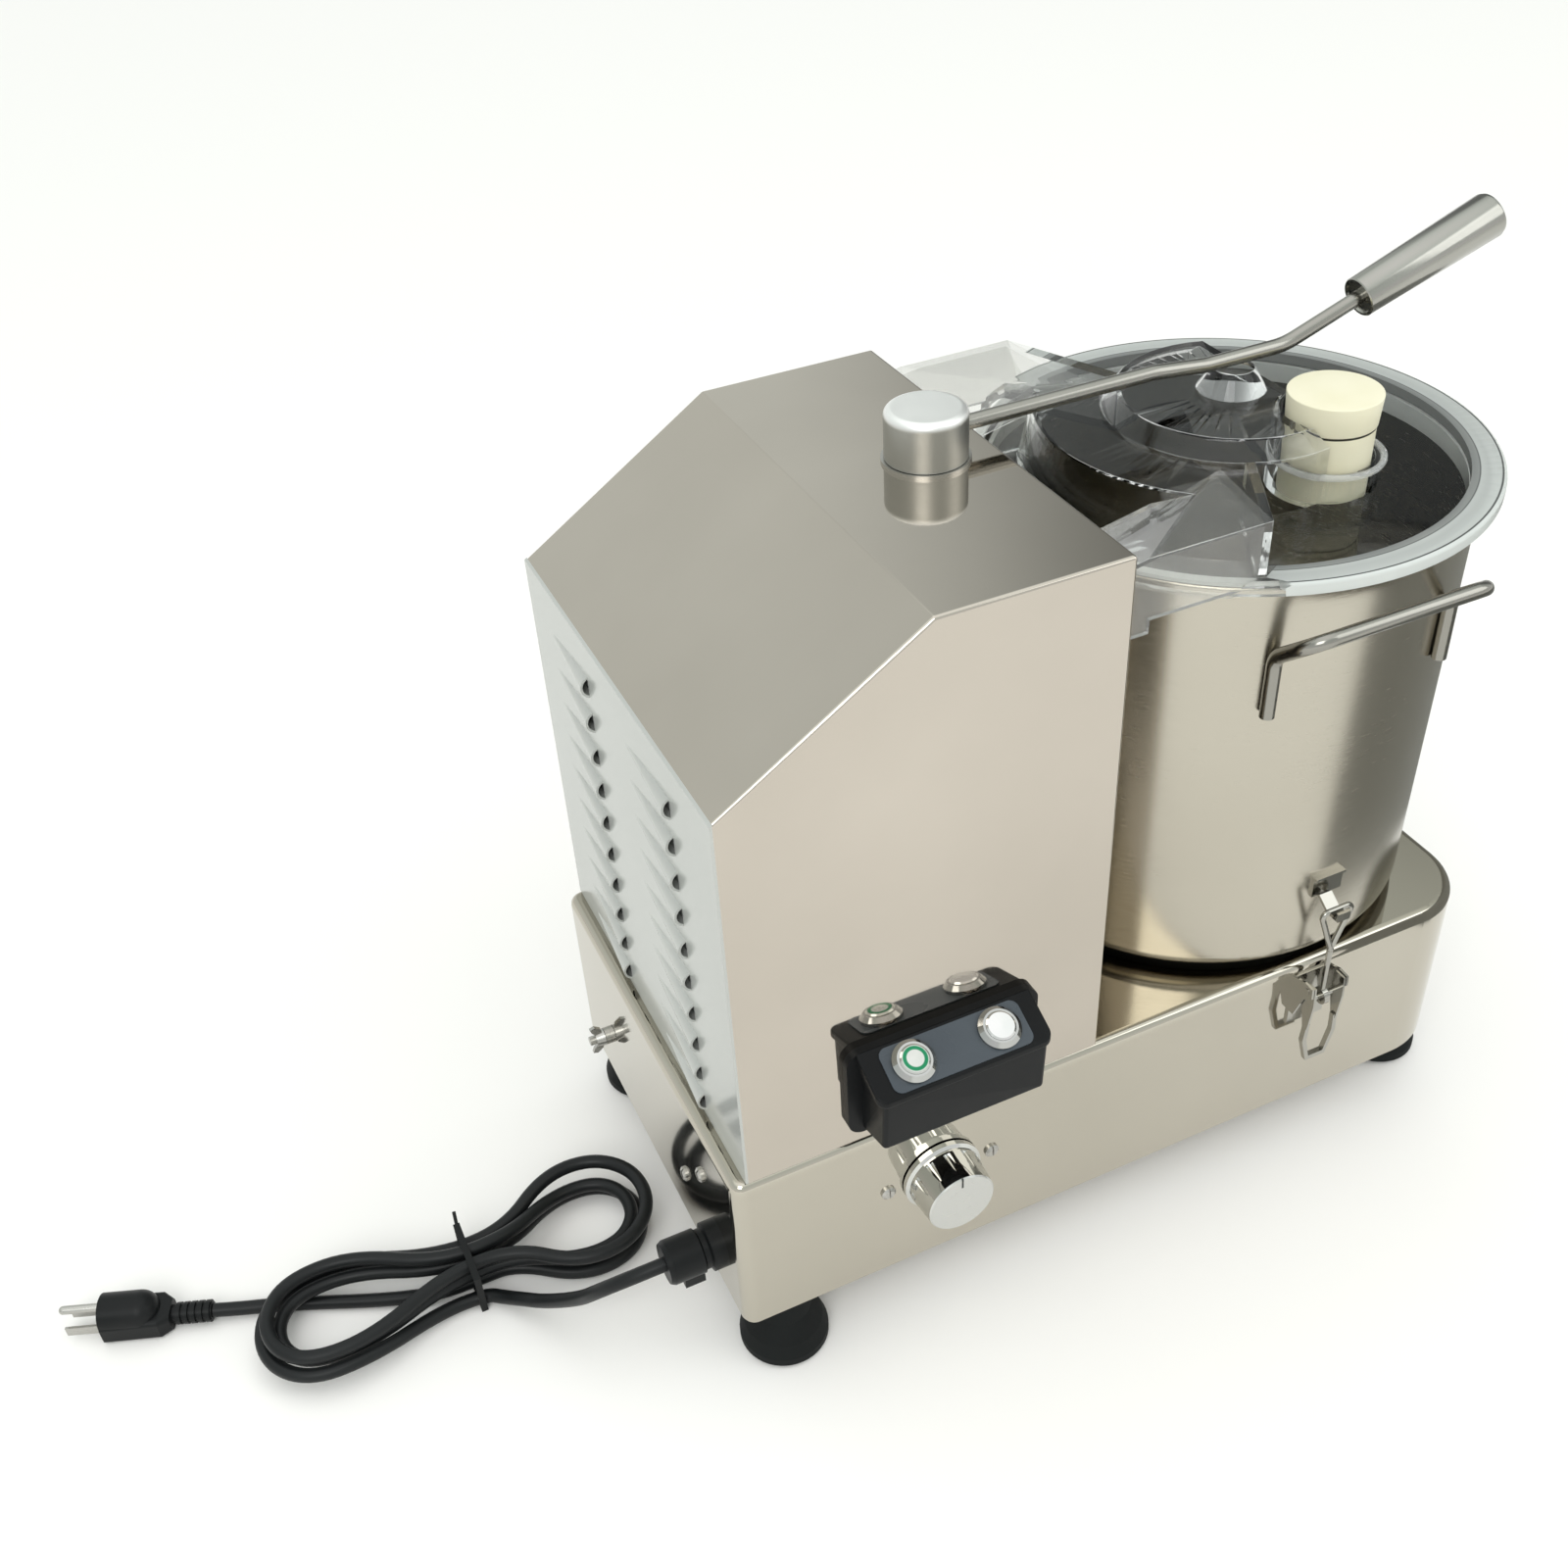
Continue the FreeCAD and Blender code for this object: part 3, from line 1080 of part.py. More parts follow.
def make_mains_entry():
    at = (left_end, D["gland_side"], D["gland_height"])
    cord = D["cord_diameter"] / 2
    profile = [(cord, -9), (9, -9), (9, 0), (14, 0), (14, 8), (11.5, 9), (11.5, 12), (12.8, 13), (12.8, 31),
               (11.5, D["gland_length"]), (cord, D["gland_length"])]
    sleeve = turned("gland_sleeve", profile, at, TO_LEFT)
    pad = box("gland_clamp", (12, 15, 8), (left_end - 25, D["gland_side"] - 7.5, D["gland_height"] - 18))
    bore = rod("gland_bore", cord, 60, (left_end - 45, D["gland_side"], D["gland_height"]), TO_X)
    named(cut("gland_cut", fuse("gland_fused", [sleeve, pad]), [bore]), "cable_gland")
    stud = [(0, -8), (6, -8), (6, -1.5), (earth_radius, -1.5), (earth_radius, 0), (5.5, 0), (5.5, 3),
            (earth_radius, 3), (earth_radius, 13), (0, 13)]
    named(turned("earth_bolt", stud, earth_place, TO_LEFT), "earth_stud")
    nut = turned("wing_hub", [(earth_radius + 0.05, 3.4), (5.6, 3.4), (4.6, 9), (earth_radius + 0.05, 9)], earth_place, TO_LEFT)
    vane = [(4, 4.2), (8, 5), (11, 9), (10, 12), (7, 11), (4, 8)]
    ears = []
    for word, turn in (("near", Rotation()), ("far", HALF_TURN)):
        ears.append(padded(f"wing_ear_{word}", "XZ_Plane", vane, 2.4, earth_place, TO_LEFT.multiply(turn), midplane=True))
    named(fuse("wing_fused", [nut] + ears), "wing_nut")


def hank_stations():
    """Points and headings along the bundled cord: three loops, drawn in alike at the waist, in three levels."""
    pitch = float(D["hank_pitch"])
    wide = float(D["hank_turn"])
    middle = wide - pitch / 2
    narrow = wide - pitch
    step = pitch * float(D["waist_share"])
    diameter = float(D["cord_diameter"])
    low = diameter / 2 + float(D["hank_lift"])
    levels = [low + float(D["hank_layer"]) * layer for layer in range(3)]
    to_left = Vector(-1, 0, 0)
    to_right = Vector(1, 0, 0)

    def left_turn(radius, level):
        end = -(float(D["hank_left"]) - wide + radius)
        return [(Vector(end + radius, -radius, level), to_left), (Vector(end, 0, level), Vector(0, 1, 0)),
                (Vector(end + radius, radius, level), to_right)]

    def right_turn(radius, level):
        end = float(D["hank_right"]) - wide + radius
        sunk = level - float(D["hank_lift"]) + 0.2
        return [(Vector(end - radius, radius, sunk), to_right), (Vector(end, 0, sunk), Vector(0, -1, 0)),
                (Vector(end - radius, -radius, sunk), to_left)]

    def waist(share, level, heading, x=0.0):
        return [(Vector(x, share * step, level), heading)]

    entry = Vector(-0.58, 0.71, -0.4).normalize()
    entered = Vector(8, -31.2, 9.6)
    stations = [(entered - entry * diameter, entry), (entered, entry)]
    stations += waist(-1.65, levels[0], to_left, -12)
    stations += left_turn(wide, levels[1]) + waist(1.32, levels[1], to_right)
    stations += right_turn(wide, levels[2]) + waist(-0.8, levels[2], to_left)
    stations += left_turn(middle, levels[2]) + waist(0.15, levels[2], to_right)
    stations += right_turn(narrow, levels[1]) + waist(-0.7, levels[1], to_left)
    stations += left_turn(narrow, levels[1]) + waist(0.26, levels[1], to_right)
    stations += right_turn(middle, levels[0]) + waist(-0.5, levels[0], to_left)
    stations += waist(-0.5, levels[0], to_left, -diameter)
    centre = Vector(float(D["hank_axis"]), float(D["hank_side"]), 0)
    return [(centre + point, heading) for point, heading in stations]


def biarc(start, heading_in, end, heading_out):
    """Two tangent arcs of equal control length between two points with given headings."""
    span = end - start
    along = heading_in + heading_out
    square = 2 - 2 * heading_in.dot(heading_out)
    reach = span.dot(along)
    if square < 1e-9:
        control = span.dot(span) / (4 * span.dot(heading_out)) if span.dot(heading_out) > 0 else span.Length / 2
    else:
        control = (-reach + math.sqrt(reach ** 2 + 2 * (1 - heading_in.dot(heading_out)) * span.dot(span))) / square
    first = start + heading_in * control
    second = end - heading_out * control
    middle = (first + second) * 0.5
    return [tangent_arc(start, first, middle), tangent_arc(middle, second, end)]


def least_self_gap(path, diameter, spacing):
    """Least clear distance of a tube to itself, measured between points that lie well apart along it."""
    points = path.discretize(Distance=spacing)
    skip = int(4 * diameter / spacing)
    least = path.Length
    for index, point in enumerate(points):
        for other in points[index + skip:]:
            least = min(least, point.distanceToPoint(other))
    return least - diameter


def make_cord():
    diameter = float(D["cord_diameter"])
    floor = diameter / 2
    stations = hank_stations()
    edges = []
    for (start, heading_in), (end, heading_out) in zip(stations, stations[1:]):
        if heading_in.isEqual(heading_out, 1e-9) and (end - start).normalize().isEqual(heading_in, 1e-9):
            edges.append(Part.LineSegment(start, end).toShape())
        else:
            edges += biarc(start, heading_in, end, heading_out)
    hank = Part.Wire(edges)
    named(solid("hank_tube", tube(hank, diameter)), "cord_hank")
    print("cord_hank length", round(hank.Length, 1), "least self gap", round(least_self_gap(hank, diameter, 2.0), 2))

    exit_x = left_end - D["gland_length"] + 14
    exit_y = D["gland_side"]
    exit_z = D["gland_height"]
    hank_start = stations[0][0]
    lead_points = points_of((exit_x, exit_y, exit_z), (-281.4, exit_y, exit_z), (-296.4, -97.1, 80), (-309.1, -91.5, 72.4),
                            (-318.1, -83.9, 61.9), (-325.6, -69.3, 41.9), (-341.6, -46, 20))
    lead_points.append(hank_start)
    draw_free_cord("cord_lead", lead_points, diameter)

    tail_start = stations[-1][0]
    tail_points = [tail_start]
    tail_points += points_of((-395, -0.4, 5.0), (-417, 7, 4.5), (-440, 16.5, 4.45), (-464, 27.5, 4.5), (-487, 37.4, 4.7), (-507, 43.6, 5.8))
    tail_points.append(plug_end())
    draw_free_cord("cord_tail", tail_points, diameter)
    make_cord_tie(diameter)


def draw_free_cord(label, points, diameter):
    path, radii = bent_path(points, cord_bend)
    shape = tube(path, diameter)
    named(solid(label + "_tube", shape), label)
    ideal = math.pi * diameter ** 2 / 4 * path.Length
    print(label, "length", round(path.Length, 1), "volume share", round(shape.Volume / ideal, 4),
          "radii", [round(radius, 1) for radius in radii])


def make_cord_tie(diameter):
    """A flat twist tie round the waist of the hank."""
    step = float(D["hank_pitch"]) * float(D["waist_share"])
    gauge = 0.8
    width = 4
    slack = 0.5
    front = -1.65 * step - diameter / 2 - slack - 1.6
    aside = -9
    back = 1.32 * step + diameter / 2 + slack
    low = 1.0
    high = diameter + float(D["hank_lift"]) + 2 * float(D["hank_layer"]) + slack
    outer = Part.makeBox(width, back - front + 2 * gauge, high - low + 2 * gauge, Vector(-width / 2, front - gauge, low - gauge))
    inner = Part.makeBox(width * 2, back - front, high - low, Vector(-width, front, low))
    twist = Part.makeCylinder(1.1, 12, Vector(0, back + gauge - 0.3, high - 6), Vector(0.1, 0.8, 0.55))
    shape = outer.cut(inner).fuse(twist).removeSplitter()
    named(solid("tie_band", shape, (D["hank_axis"] + aside, D["hank_side"], 0)), "cord_tie")


plug_axis = Vector(-0.934, 0.357, 0).normalize()
plug_level = 12.5


def plug_end():
    """Where the cord enters the plug."""
    return Vector(-522, 48.5, plug_level - 5)


def make_plug():
    """A flat block, domed over the earth pin and round at the back, with a ribbed strain relief behind it."""
    turn = Rotation(Vector(1, 0, 0), plug_axis)
    along = Vector(1, 0, 0)
    start = plug_end()
    at = (start.x, start.y, start.z)
    low = 0.4 - start.z
    block_start, face = 24, 64
    dome = 12
    dome_level = low + 13.5
    ribs = []
    for rib in range(5):
        ribs.append(Part.makeCylinder(6.6, 2.6, Vector(1 + 4.4 * rib, 0, 0), along))
    core = Part.makeCylinder(5.4, block_start + 2, Vector(0, 0, 0), along)
    stations = [
        rounded_rectangle(block_start, 16, 14, 4, low),
        rounded_rectangle(block_start + 6, 2 * dome, 15, 3, low),
        rounded_rectangle(face, 2 * dome + 1, 15, 3, low),
    ]
    block = Part.makeLoft(stations, True, True)
    hump = Part.makeCylinder(dome, face - block_start - 6 - dome, Vector(block_start + 6 + dome, 0, dome_level), along)
    hump_end = Part.makeSphere(dome, Vector(block_start + 6 + dome, 0, dome_level))
    shape = core.fuse(ribs + [block, hump, hump_end]).removeSplitter()
    named(solid("plug_moulding", shape, at, turn), "mains_plug")
    blade_long, blade_thick, blade_high, pitch = 22, 1.6, 6.6, 12.7
    blade_low = low + 4.5
    pin = 2.6
    pin_level = blade_low + blade_high / 2 + 11.9
    earth_pin = Part.makeCylinder(pin, blade_long, Vector(face, 0, pin_level), along)
    pins = [earth_pin.fuse(Part.makeSphere(pin, Vector(face + blade_long, 0, pin_level))).removeSplitter()]
    for side in (-1, 1):
        corner = Vector(face, (side * pitch - blade_thick) / 2, blade_low)
        pins.append(Part.makeBox(blade_long, blade_thick, blade_high, corner))
    named(solid("plug_pins", Part.makeCompound(pins), at, turn), "plug_blades")


def rounded_rectangle(x, width, height, radius, low):
    """A rounded upright rectangle across the plug at one station, standing at one level."""
    half = width / 2
    top = low + height
    corners = [Vector(x, -half, low), Vector(x, half, low), Vector(x, half, top), Vector(x, -half, top)]
    edges = []
    for before, corner, after in zip(corners[-1:] + corners[:-1], corners, corners[1:] + corners[:1]):
        start = corner + (before - corner).normalize() * radius
        end = corner + (after - corner).normalize() * radius
        edges.append((start, corner, end))
    shapes = []
    for (start, corner, end), (next_start, next_corner, next_end) in zip(edges, edges[1:] + edges[:1]):
        shapes.append(tangent_arc(start, corner, end))
        shapes.append(Part.LineSegment(end, next_start).toShape())
    return Part.Wire(shapes)


# The whole machine

make_base()
make_floor_plate()
make_feet()
make_housing()
make_vent_panel()
make_bowl()
make_bowl_handles()
make_keepers()
make_lid()
make_stopper()
make_arm()
make_control_box()
make_buttons()
make_speed_control()
make_case_screws()
make_latches()
make_motor()
make_belt()
make_spindle()
make_speed_board()
make_mains_entry()
make_cord()
make_plug()
doc.recompute()

failed = [obj.Name for obj in doc.Objects if "Invalid" in obj.State or "Error" in obj.State]
for obj in subparts:
    if obj.Shape.isNull() or not obj.Shape.isValid() or not obj.Shape.Solids:
        failed.append(obj.Label)
if failed:
    raise RuntimeError("failed objects: " + ", ".join(failed))
os.makedirs("parts", exist_ok=True)
for obj in subparts:
    obj.Shape.exportStep(f"parts/{obj.Label}.step")
print(len(subparts), "sub-parts")
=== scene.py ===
import math
import bmesh
import bpy
from mathutils import Matrix, Vector


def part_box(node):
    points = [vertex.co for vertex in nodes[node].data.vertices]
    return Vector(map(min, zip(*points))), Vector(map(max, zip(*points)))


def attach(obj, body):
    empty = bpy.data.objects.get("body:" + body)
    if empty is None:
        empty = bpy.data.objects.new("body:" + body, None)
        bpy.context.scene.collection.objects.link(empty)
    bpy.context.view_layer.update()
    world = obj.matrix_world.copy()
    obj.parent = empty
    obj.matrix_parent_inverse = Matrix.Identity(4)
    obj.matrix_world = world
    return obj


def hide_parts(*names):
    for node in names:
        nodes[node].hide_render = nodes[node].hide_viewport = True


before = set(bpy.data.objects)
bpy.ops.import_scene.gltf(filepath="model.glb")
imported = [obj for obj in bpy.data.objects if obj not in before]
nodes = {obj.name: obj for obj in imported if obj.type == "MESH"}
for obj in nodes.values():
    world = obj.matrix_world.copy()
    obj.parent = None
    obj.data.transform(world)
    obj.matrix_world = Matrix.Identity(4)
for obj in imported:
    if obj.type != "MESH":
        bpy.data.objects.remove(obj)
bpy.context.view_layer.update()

MM = 0.001
EVEN = (1.0, 1.0, 1.0)
UPRIGHT = (0.0, 0.0, 1.0)
ORIGIN = Vector((0.0, 0.0, 0.0))
BOWL_AXIS = Vector((0.1204, 0.0, 0.0))


# Shader building blocks


def link(tree, source, target):
    tree.links.new(source, target)


def feed(tree, value, socket):
    """Join a socket to an input, or set the input to a plain number."""
    if hasattr(value, "is_linked"):
        link(tree, value, socket)
    else:
        socket.default_value = value


def calculated(tree, operation, *values):
    """The result of a sum on sockets and numbers."""
    node = tree.nodes.new("ShaderNodeMath")
    node.operation = operation
    for value, socket in zip(values, node.inputs):
        feed(tree, value, socket)
    return node.outputs[0]


def product(tree, first, *others):
    """Several values multiplied together."""
    for other in others:
        first = calculated(tree, "MULTIPLY", first, other)
    return first


def new_group(name, inputs, outputs):
    """An empty shader group with float inputs and outputs."""
    group = bpy.data.node_groups.new(name, "ShaderNodeTree")
    for label, default in inputs:
        socket = group.interface.new_socket(label, in_out="INPUT", socket_type="NodeSocketFloat")
        socket.default_value = default
    for label in outputs:
        group.interface.new_socket(label, in_out="OUTPUT", socket_type="NodeSocketFloat")
    return group, group.nodes.new("NodeGroupInput"), group.nodes.new("NodeGroupOutput")


def stretched_noise(tree, stretch, scale, detail=4.0):
    """Noise on Object coordinates, drawn out by a stretch for each axis."""
    place = tree.nodes.new("ShaderNodeTexCoord")
    mapping = tree.nodes.new("ShaderNodeMapping")
    mapping.inputs["Scale"].default_value = stretch
    noise = tree.nodes.new("ShaderNodeTexNoise")
    noise.inputs["Scale"].default_value = scale
    noise.inputs["Detail"].default_value = detail
    link(tree, place.outputs["Object"], mapping.inputs["Vector"])
    link(tree, mapping.outputs["Vector"], noise.inputs["Vector"])
    return noise.outputs["Fac"]


def spread(tree, value, from_low, from_high, to_low=0.0, to_high=1.0, soft=False):
    """A value moved from one range to another, with a soft start and end if asked."""
    node = tree.nodes.new("ShaderNodeMapRange")
    node.interpolation_type = "SMOOTHSTEP" if soft else "LINEAR"
    node.inputs["From Min"].default_value = from_low
    node.inputs["From Max"].default_value = from_high
    feed(tree, to_low, node.inputs["To Min"])
    feed(tree, to_high, node.inputs["To Max"])
    link(tree, value, node.inputs["Value"])
    return node.outputs["Result"]


def ranged(tree, noise, low, high):
    """The middle part of a noise value, spread between two ends."""
    return spread(tree, noise, 0.3, 0.7, low, high)


def step_between(tree, value, start, stop, low=0.0, high=1.0):
    """A soft step from low to high as a value goes from start to stop."""
    return spread(tree, value, start, stop, low, high, soft=True)


def coordinates(tree):
    """The x, y and z of a point of the surface."""
    place = tree.nodes.new("ShaderNodeTexCoord")
    split = tree.nodes.new("ShaderNodeSeparateXYZ")
    link(tree, place.outputs["Object"], split.inputs["Vector"])
    return split.outputs["X"], split.outputs["Y"], split.outputs["Z"]


def axis_distance(tree, centre, axis):
    """How far a point of the surface is from a line through a centre along an axis of length one."""
    place = tree.nodes.new("ShaderNodeTexCoord")
    away = tree.nodes.new("ShaderNodeVectorMath")
    away.operation = "SUBTRACT"
    away.inputs[1].default_value = centre
    link(tree, place.outputs["Object"], away.inputs[0])
    across = tree.nodes.new("ShaderNodeVectorMath")
    across.operation = "CROSS_PRODUCT"
    across.inputs[1].default_value = axis
    link(tree, away.outputs["Vector"], across.inputs[0])
    length = tree.nodes.new("ShaderNodeVectorMath")
    length.operation = "LENGTH"
    link(tree, across.outputs["Vector"], length.inputs[0])
    return length.outputs["Value"]


def grain_group(name, stretch):
    """Drawn-out polishing lines with larger smears: a roughness and a height."""
    line_share = 0.55
    group, given, out = new_group(name, [("Smooth", 0.1), ("Rough", 0.2)], ["Roughness", "Height"])
    lines = stretched_noise(group, stretch, 60.0, 3.0)
    smears = stretched_noise(group, EVEN, 7.0, 5.0)
    faint_smears = calculated(group, "MULTIPLY", smears, 1.0 - line_share)
    worn = calculated(group, "MULTIPLY_ADD", lines, line_share, faint_smears)
    roughness = ranged(group, worn, given.outputs["Smooth"], given.outputs["Rough"])
    link(group, roughness, out.inputs["Roughness"])
    link(group, lines, out.inputs["Height"])
    return group


def speckle_group():
    """Fine moulded texture with faint handling marks: a tone, a roughness and a height."""
    inputs = [("Grain", 900.0), ("Smooth", 0.4), ("Rough", 0.6)]
    group, given, out = new_group("moulded_grain", inputs, ["Tone", "Roughness", "Height"])
    place = group.nodes.new("ShaderNodeTexCoord")
    fine = group.nodes.new("ShaderNodeTexNoise")
    fine.inputs["Detail"].default_value = 2.0
    link(group, place.outputs["Object"], fine.inputs["Vector"])
    link(group, given.outputs["Grain"], fine.inputs["Scale"])
    marks = stretched_noise(group, EVEN, 22.0, 6.0)
    roughness = ranged(group, marks, given.outputs["Smooth"], given.outputs["Rough"])
    link(group, ranged(group, marks, 0.0, 1.0), out.inputs["Tone"])
    link(group, roughness, out.inputs["Roughness"])
    link(group, fine.outputs["Fac"], out.inputs["Height"])
    return group


ALONG_X = grain_group("grain_along_x", (0.6, 14.0, 14.0))
ALONG_Z = grain_group("grain_along_z", (14.0, 14.0, 0.6))
AROUND = grain_group("grain_around", (1.5, 1.5, 26.0))
MOULDED = speckle_group()


# Kinds of finish


def base_material(name):
    """A new material, with its tree and its shader."""
    material = bpy.data.materials.new(name)
    material.use_nodes = True
    return material, material.node_tree, material.node_tree.nodes["Principled BSDF"]


def shader_of(material):
    return material.node_tree.nodes["Principled BSDF"]


def bump(tree, height, distance, strength, target):
    """Fine relief from a height, fed to a shader's normal."""
    node = tree.nodes.new("ShaderNodeBump")
    node.inputs["Distance"].default_value = distance
    node.inputs["Strength"].default_value = strength
    link(tree, height, node.inputs["Height"])
    link(tree, node.outputs["Normal"], target)


def tone_mix(tree, factor, low, high, target):
    """A colour between two, chosen by a value that varies over the surface."""
    mix = tree.nodes.new("ShaderNodeMix")
    mix.data_type = "RGBA"
    mix.inputs[6].default_value = (*low, 1.0)
    mix.inputs[7].default_value = (*high, 1.0)
    link(tree, factor, mix.inputs[0])
    link(tree, mix.outputs[2], target)


def metal(name, low, high, smooth, rough, group, depth=0.35, distance=0.00002):
    """Polished or brushed metal with drawn-out grain."""
    material, tree, shader = base_material(name)
    shader.inputs["Metallic"].default_value = 1.0
    grain = tree.nodes.new("ShaderNodeGroup")
    grain.node_tree = group
    grain.inputs["Smooth"].default_value = smooth
    grain.inputs["Rough"].default_value = rough
    link(tree, grain.outputs["Roughness"], shader.inputs["Roughness"])
    bump(tree, grain.outputs["Height"], distance, depth, shader.inputs["Normal"])
    cast = stretched_noise(tree, EVEN, 5.0, 4.0)
    tone_mix(tree, ranged(tree, cast, 0.0, 1.0), low, high, shader.inputs["Base Color"])
    return material


def dulled(material, metallic, specular):
    """Give a metal a blasted skin that hardly mirrors."""
    shader = shader_of(material)
    shader.inputs["Metallic"].default_value = metallic
    shader.inputs["Specular IOR Level"].default_value = specular


def moulded(name, low, high, smooth, rough, grain=900.0, depth=0.25, specular=0.3):
    """Plastic or rubber with a fine moulded texture."""
    material, tree, shader = base_material(name)
    shader.inputs["Specular IOR Level"].default_value = specular
    speckle = tree.nodes.new("ShaderNodeGroup")
    speckle.node_tree = MOULDED
    speckle.inputs["Grain"].default_value = grain
    speckle.inputs["Smooth"].default_value = smooth
    speckle.inputs["Rough"].default_value = rough
    tone_mix(tree, speckle.outputs["Tone"], low, high, shader.inputs["Base Color"])
    link(tree, speckle.outputs["Roughness"], shader.inputs["Roughness"])
    bump(tree, speckle.outputs["Height"], 0.0001, depth, shader.inputs["Normal"])
    return material


def lid_plastic(name, clarity, gloss, smooth, rough):
    """Moulded lid plastic with faint wipe marks. Gives back the marks too, for its colour."""
    material, tree, shader = base_material(name)
    shader.inputs["IOR"].default_value = 1.16
    shader.inputs["Transmission Weight"].default_value = clarity
    shader.inputs["Coat Weight"].default_value = gloss
    shader.inputs["Coat IOR"].default_value = 1.5
    shader.inputs["Coat Roughness"].default_value = 0.03
    marks = stretched_noise(tree, EVEN, 16.0, 6.0)
    link(tree, ranged(tree, marks, smooth, rough), shader.inputs["Roughness"])
    return material, marks


def clear_plastic(name, low, high, clarity, gloss, smooth, rough):
    """Clear or cloudy lid plastic between two tones."""
    material, marks = lid_plastic(name, clarity, gloss, smooth, rough)
    tree = material.node_tree
    tone_mix(tree, ranged(tree, marks, 0.0, 1.0), low, high, shader_of(material).inputs["Base Color"])
    return material


def rim_plastic(name, rings, clarity, gloss, smooth, rough):
    """Cloudy rim plastic with a tone for each distance from the bowl's axis, in millimetres; some of the
    tones are painted highlight and painted shade lines.
    """
    material, marks = lid_plastic(name, clarity, gloss, smooth, rough)
    tree = material.node_tree
    inner, outer = rings[0][0], rings[-1][0]
    ramp = tree.nodes.new("ShaderNodeValToRGB")
    stops = ramp.color_ramp.elements
    stops.remove(stops[1])
    for index, (radius, tone) in enumerate(rings):
        place = (radius - inner) / (outer - inner)
        stop = stops.new(place) if index else stops[0]
        stop.position = place
        stop.color = (tone, tone * 1.04, tone * 1.01, 1.0)
    radius = axis_distance(tree, BOWL_AXIS, UPRIGHT)
    link(tree, spread(tree, radius, inner * MM, outer * MM), ramp.inputs["Fac"])
    link(tree, ramp.outputs["Color"], shader_of(material).inputs["Base Color"])
    return material


def painted_shade_past(material, start, stop, tint):
    """Painted shade: multiply a finish's colour by a darkening tint as the height goes from start to stop.
    """
    tree = material.node_tree
    target = shader_of(material).inputs["Base Color"]
    mix = tree.nodes.new("ShaderNodeMix")
    mix.data_type = "RGBA"
    mix.blend_type = "MULTIPLY"
    link(tree, target.links[0].from_socket, mix.inputs[6])
    mix.inputs[7].default_value = (*tint, 1.0)
    link(tree, step_between(tree, coordinates(tree)[2], start, stop), mix.inputs[0])
    link(tree, mix.outputs[2], target)


def ringed_cap(name, centre, axis, ring_inner, ring_outer, face_colour, ring_colour):
    """A bright button face with a coloured ring let into it."""
    blur = 0.3 * MM
    material, tree, shader = base_material(name)
    shader.inputs["Metallic"].default_value = 0.85
    radius = axis_distance(tree, centre, axis)
    inside = step_between(tree, radius, ring_inner - blur, ring_inner + blur)
    outside = step_between(tree, radius, ring_outer - blur, ring_outer + blur, 1.0, 0.0)
    in_ring = product(tree, inside, outside)
    tone_mix(tree, in_ring, face_colour, ring_colour, shader.inputs["Base Color"])
    marks = stretched_noise(tree, EVEN, 120.0, 4.0)
    link(tree, ranged(tree, marks, 0.10, 0.26), shader.inputs["Roughness"])
    return material


def knob_finish(name, centre, axis, face_at, face_colour, line_colour):
    """Chrome sides with a satin front disc and a short pointer line let into its edge."""
    line_half = 0.6 * MM
    line_start = 12.5 * MM
    satin_roughness = 0.24
    material, tree, shader = base_material(name)
    shader.inputs["Metallic"].default_value = 1.0
    x, y, z = coordinates(tree)
    front = step_between(tree, y, face_at, face_at + 0.6 * MM, 1.0, 0.0)
    near_edge = step_between(tree, axis_distance(tree, centre, axis), line_start, line_start + 0.5 * MM)
    above = step_between(tree, z, centre[2], centre[2] + 1.0 * MM)
    in_line = calculated(tree, "COMPARE", x, centre[0], line_half)
    pointer = product(tree, near_edge, in_line, above, front)
    tone_mix(tree, pointer, face_colour, line_colour, shader.inputs["Base Color"])
    lines = stretched_noise(tree, (3.0, 3.0, 30.0), 40.0, 3.0)
    chrome_roughness = ranged(tree, lines, 0.03, 0.08)
    roughness = calculated(tree, "MULTIPLY_ADD", front, satin_roughness, chrome_roughness)
    link(tree, roughness, shader.inputs["Roughness"])
    return material


# Finishes of the machine


def middle(node):
    """The middle of a node's box at rest."""
    low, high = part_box(node)
    return (low + high) / 2


PANEL_TILT = math.radians(25)
BUTTON_AXIS = Vector((0.0, -math.sin(PANEL_TILT), math.cos(PANEL_TILT)))
KNOB_AXIS = (0.0, -1.0, 0.0)
KNOB_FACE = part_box("speed_knob")[0][1] + 0.4 * MM
BASE_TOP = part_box("base_shell")[1][2]
CAP_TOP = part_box("arm_cap")[1][2]
# Tones of the lid's rim by distance from the bowl's axis, in millimetres: its own cloudy tone, darker
# towards the inner edge, with painted dark lines of shade at 130.1 and 141 mm and a painted highlight on the
# outer bead at 142 mm.
RIM_TONES_AND_PAINTED_LINES = [(126.0, 0.26), (129.6, 0.32), (130.1, 0.10), (130.7, 0.62), (134.0, 0.57),
             (140.6, 0.62), (141.0, 0.10), (141.6, 0.12), (142.0, 0.80), (143.6, 0.70)]

steel_front = metal("sheet_steel_polished", (0.505, 0.460, 0.402), (0.570, 0.520, 0.458),
                    smooth=0.025, rough=0.07, group=ALONG_Z, depth=0.12)
steel_vent = metal("sheet_steel_vents", (0.455, 0.466, 0.444), (0.500, 0.511, 0.488),
                   smooth=0.08, rough=0.16, group=ALONG_Z, depth=0.2)
dulled(steel_vent, metallic=0.2, specular=0.15)
steel_base = metal("sheet_steel_base", (0.480, 0.450, 0.384), (0.525, 0.493, 0.424),
                   smooth=0.04, rough=0.10, group=ALONG_X, depth=0.12)
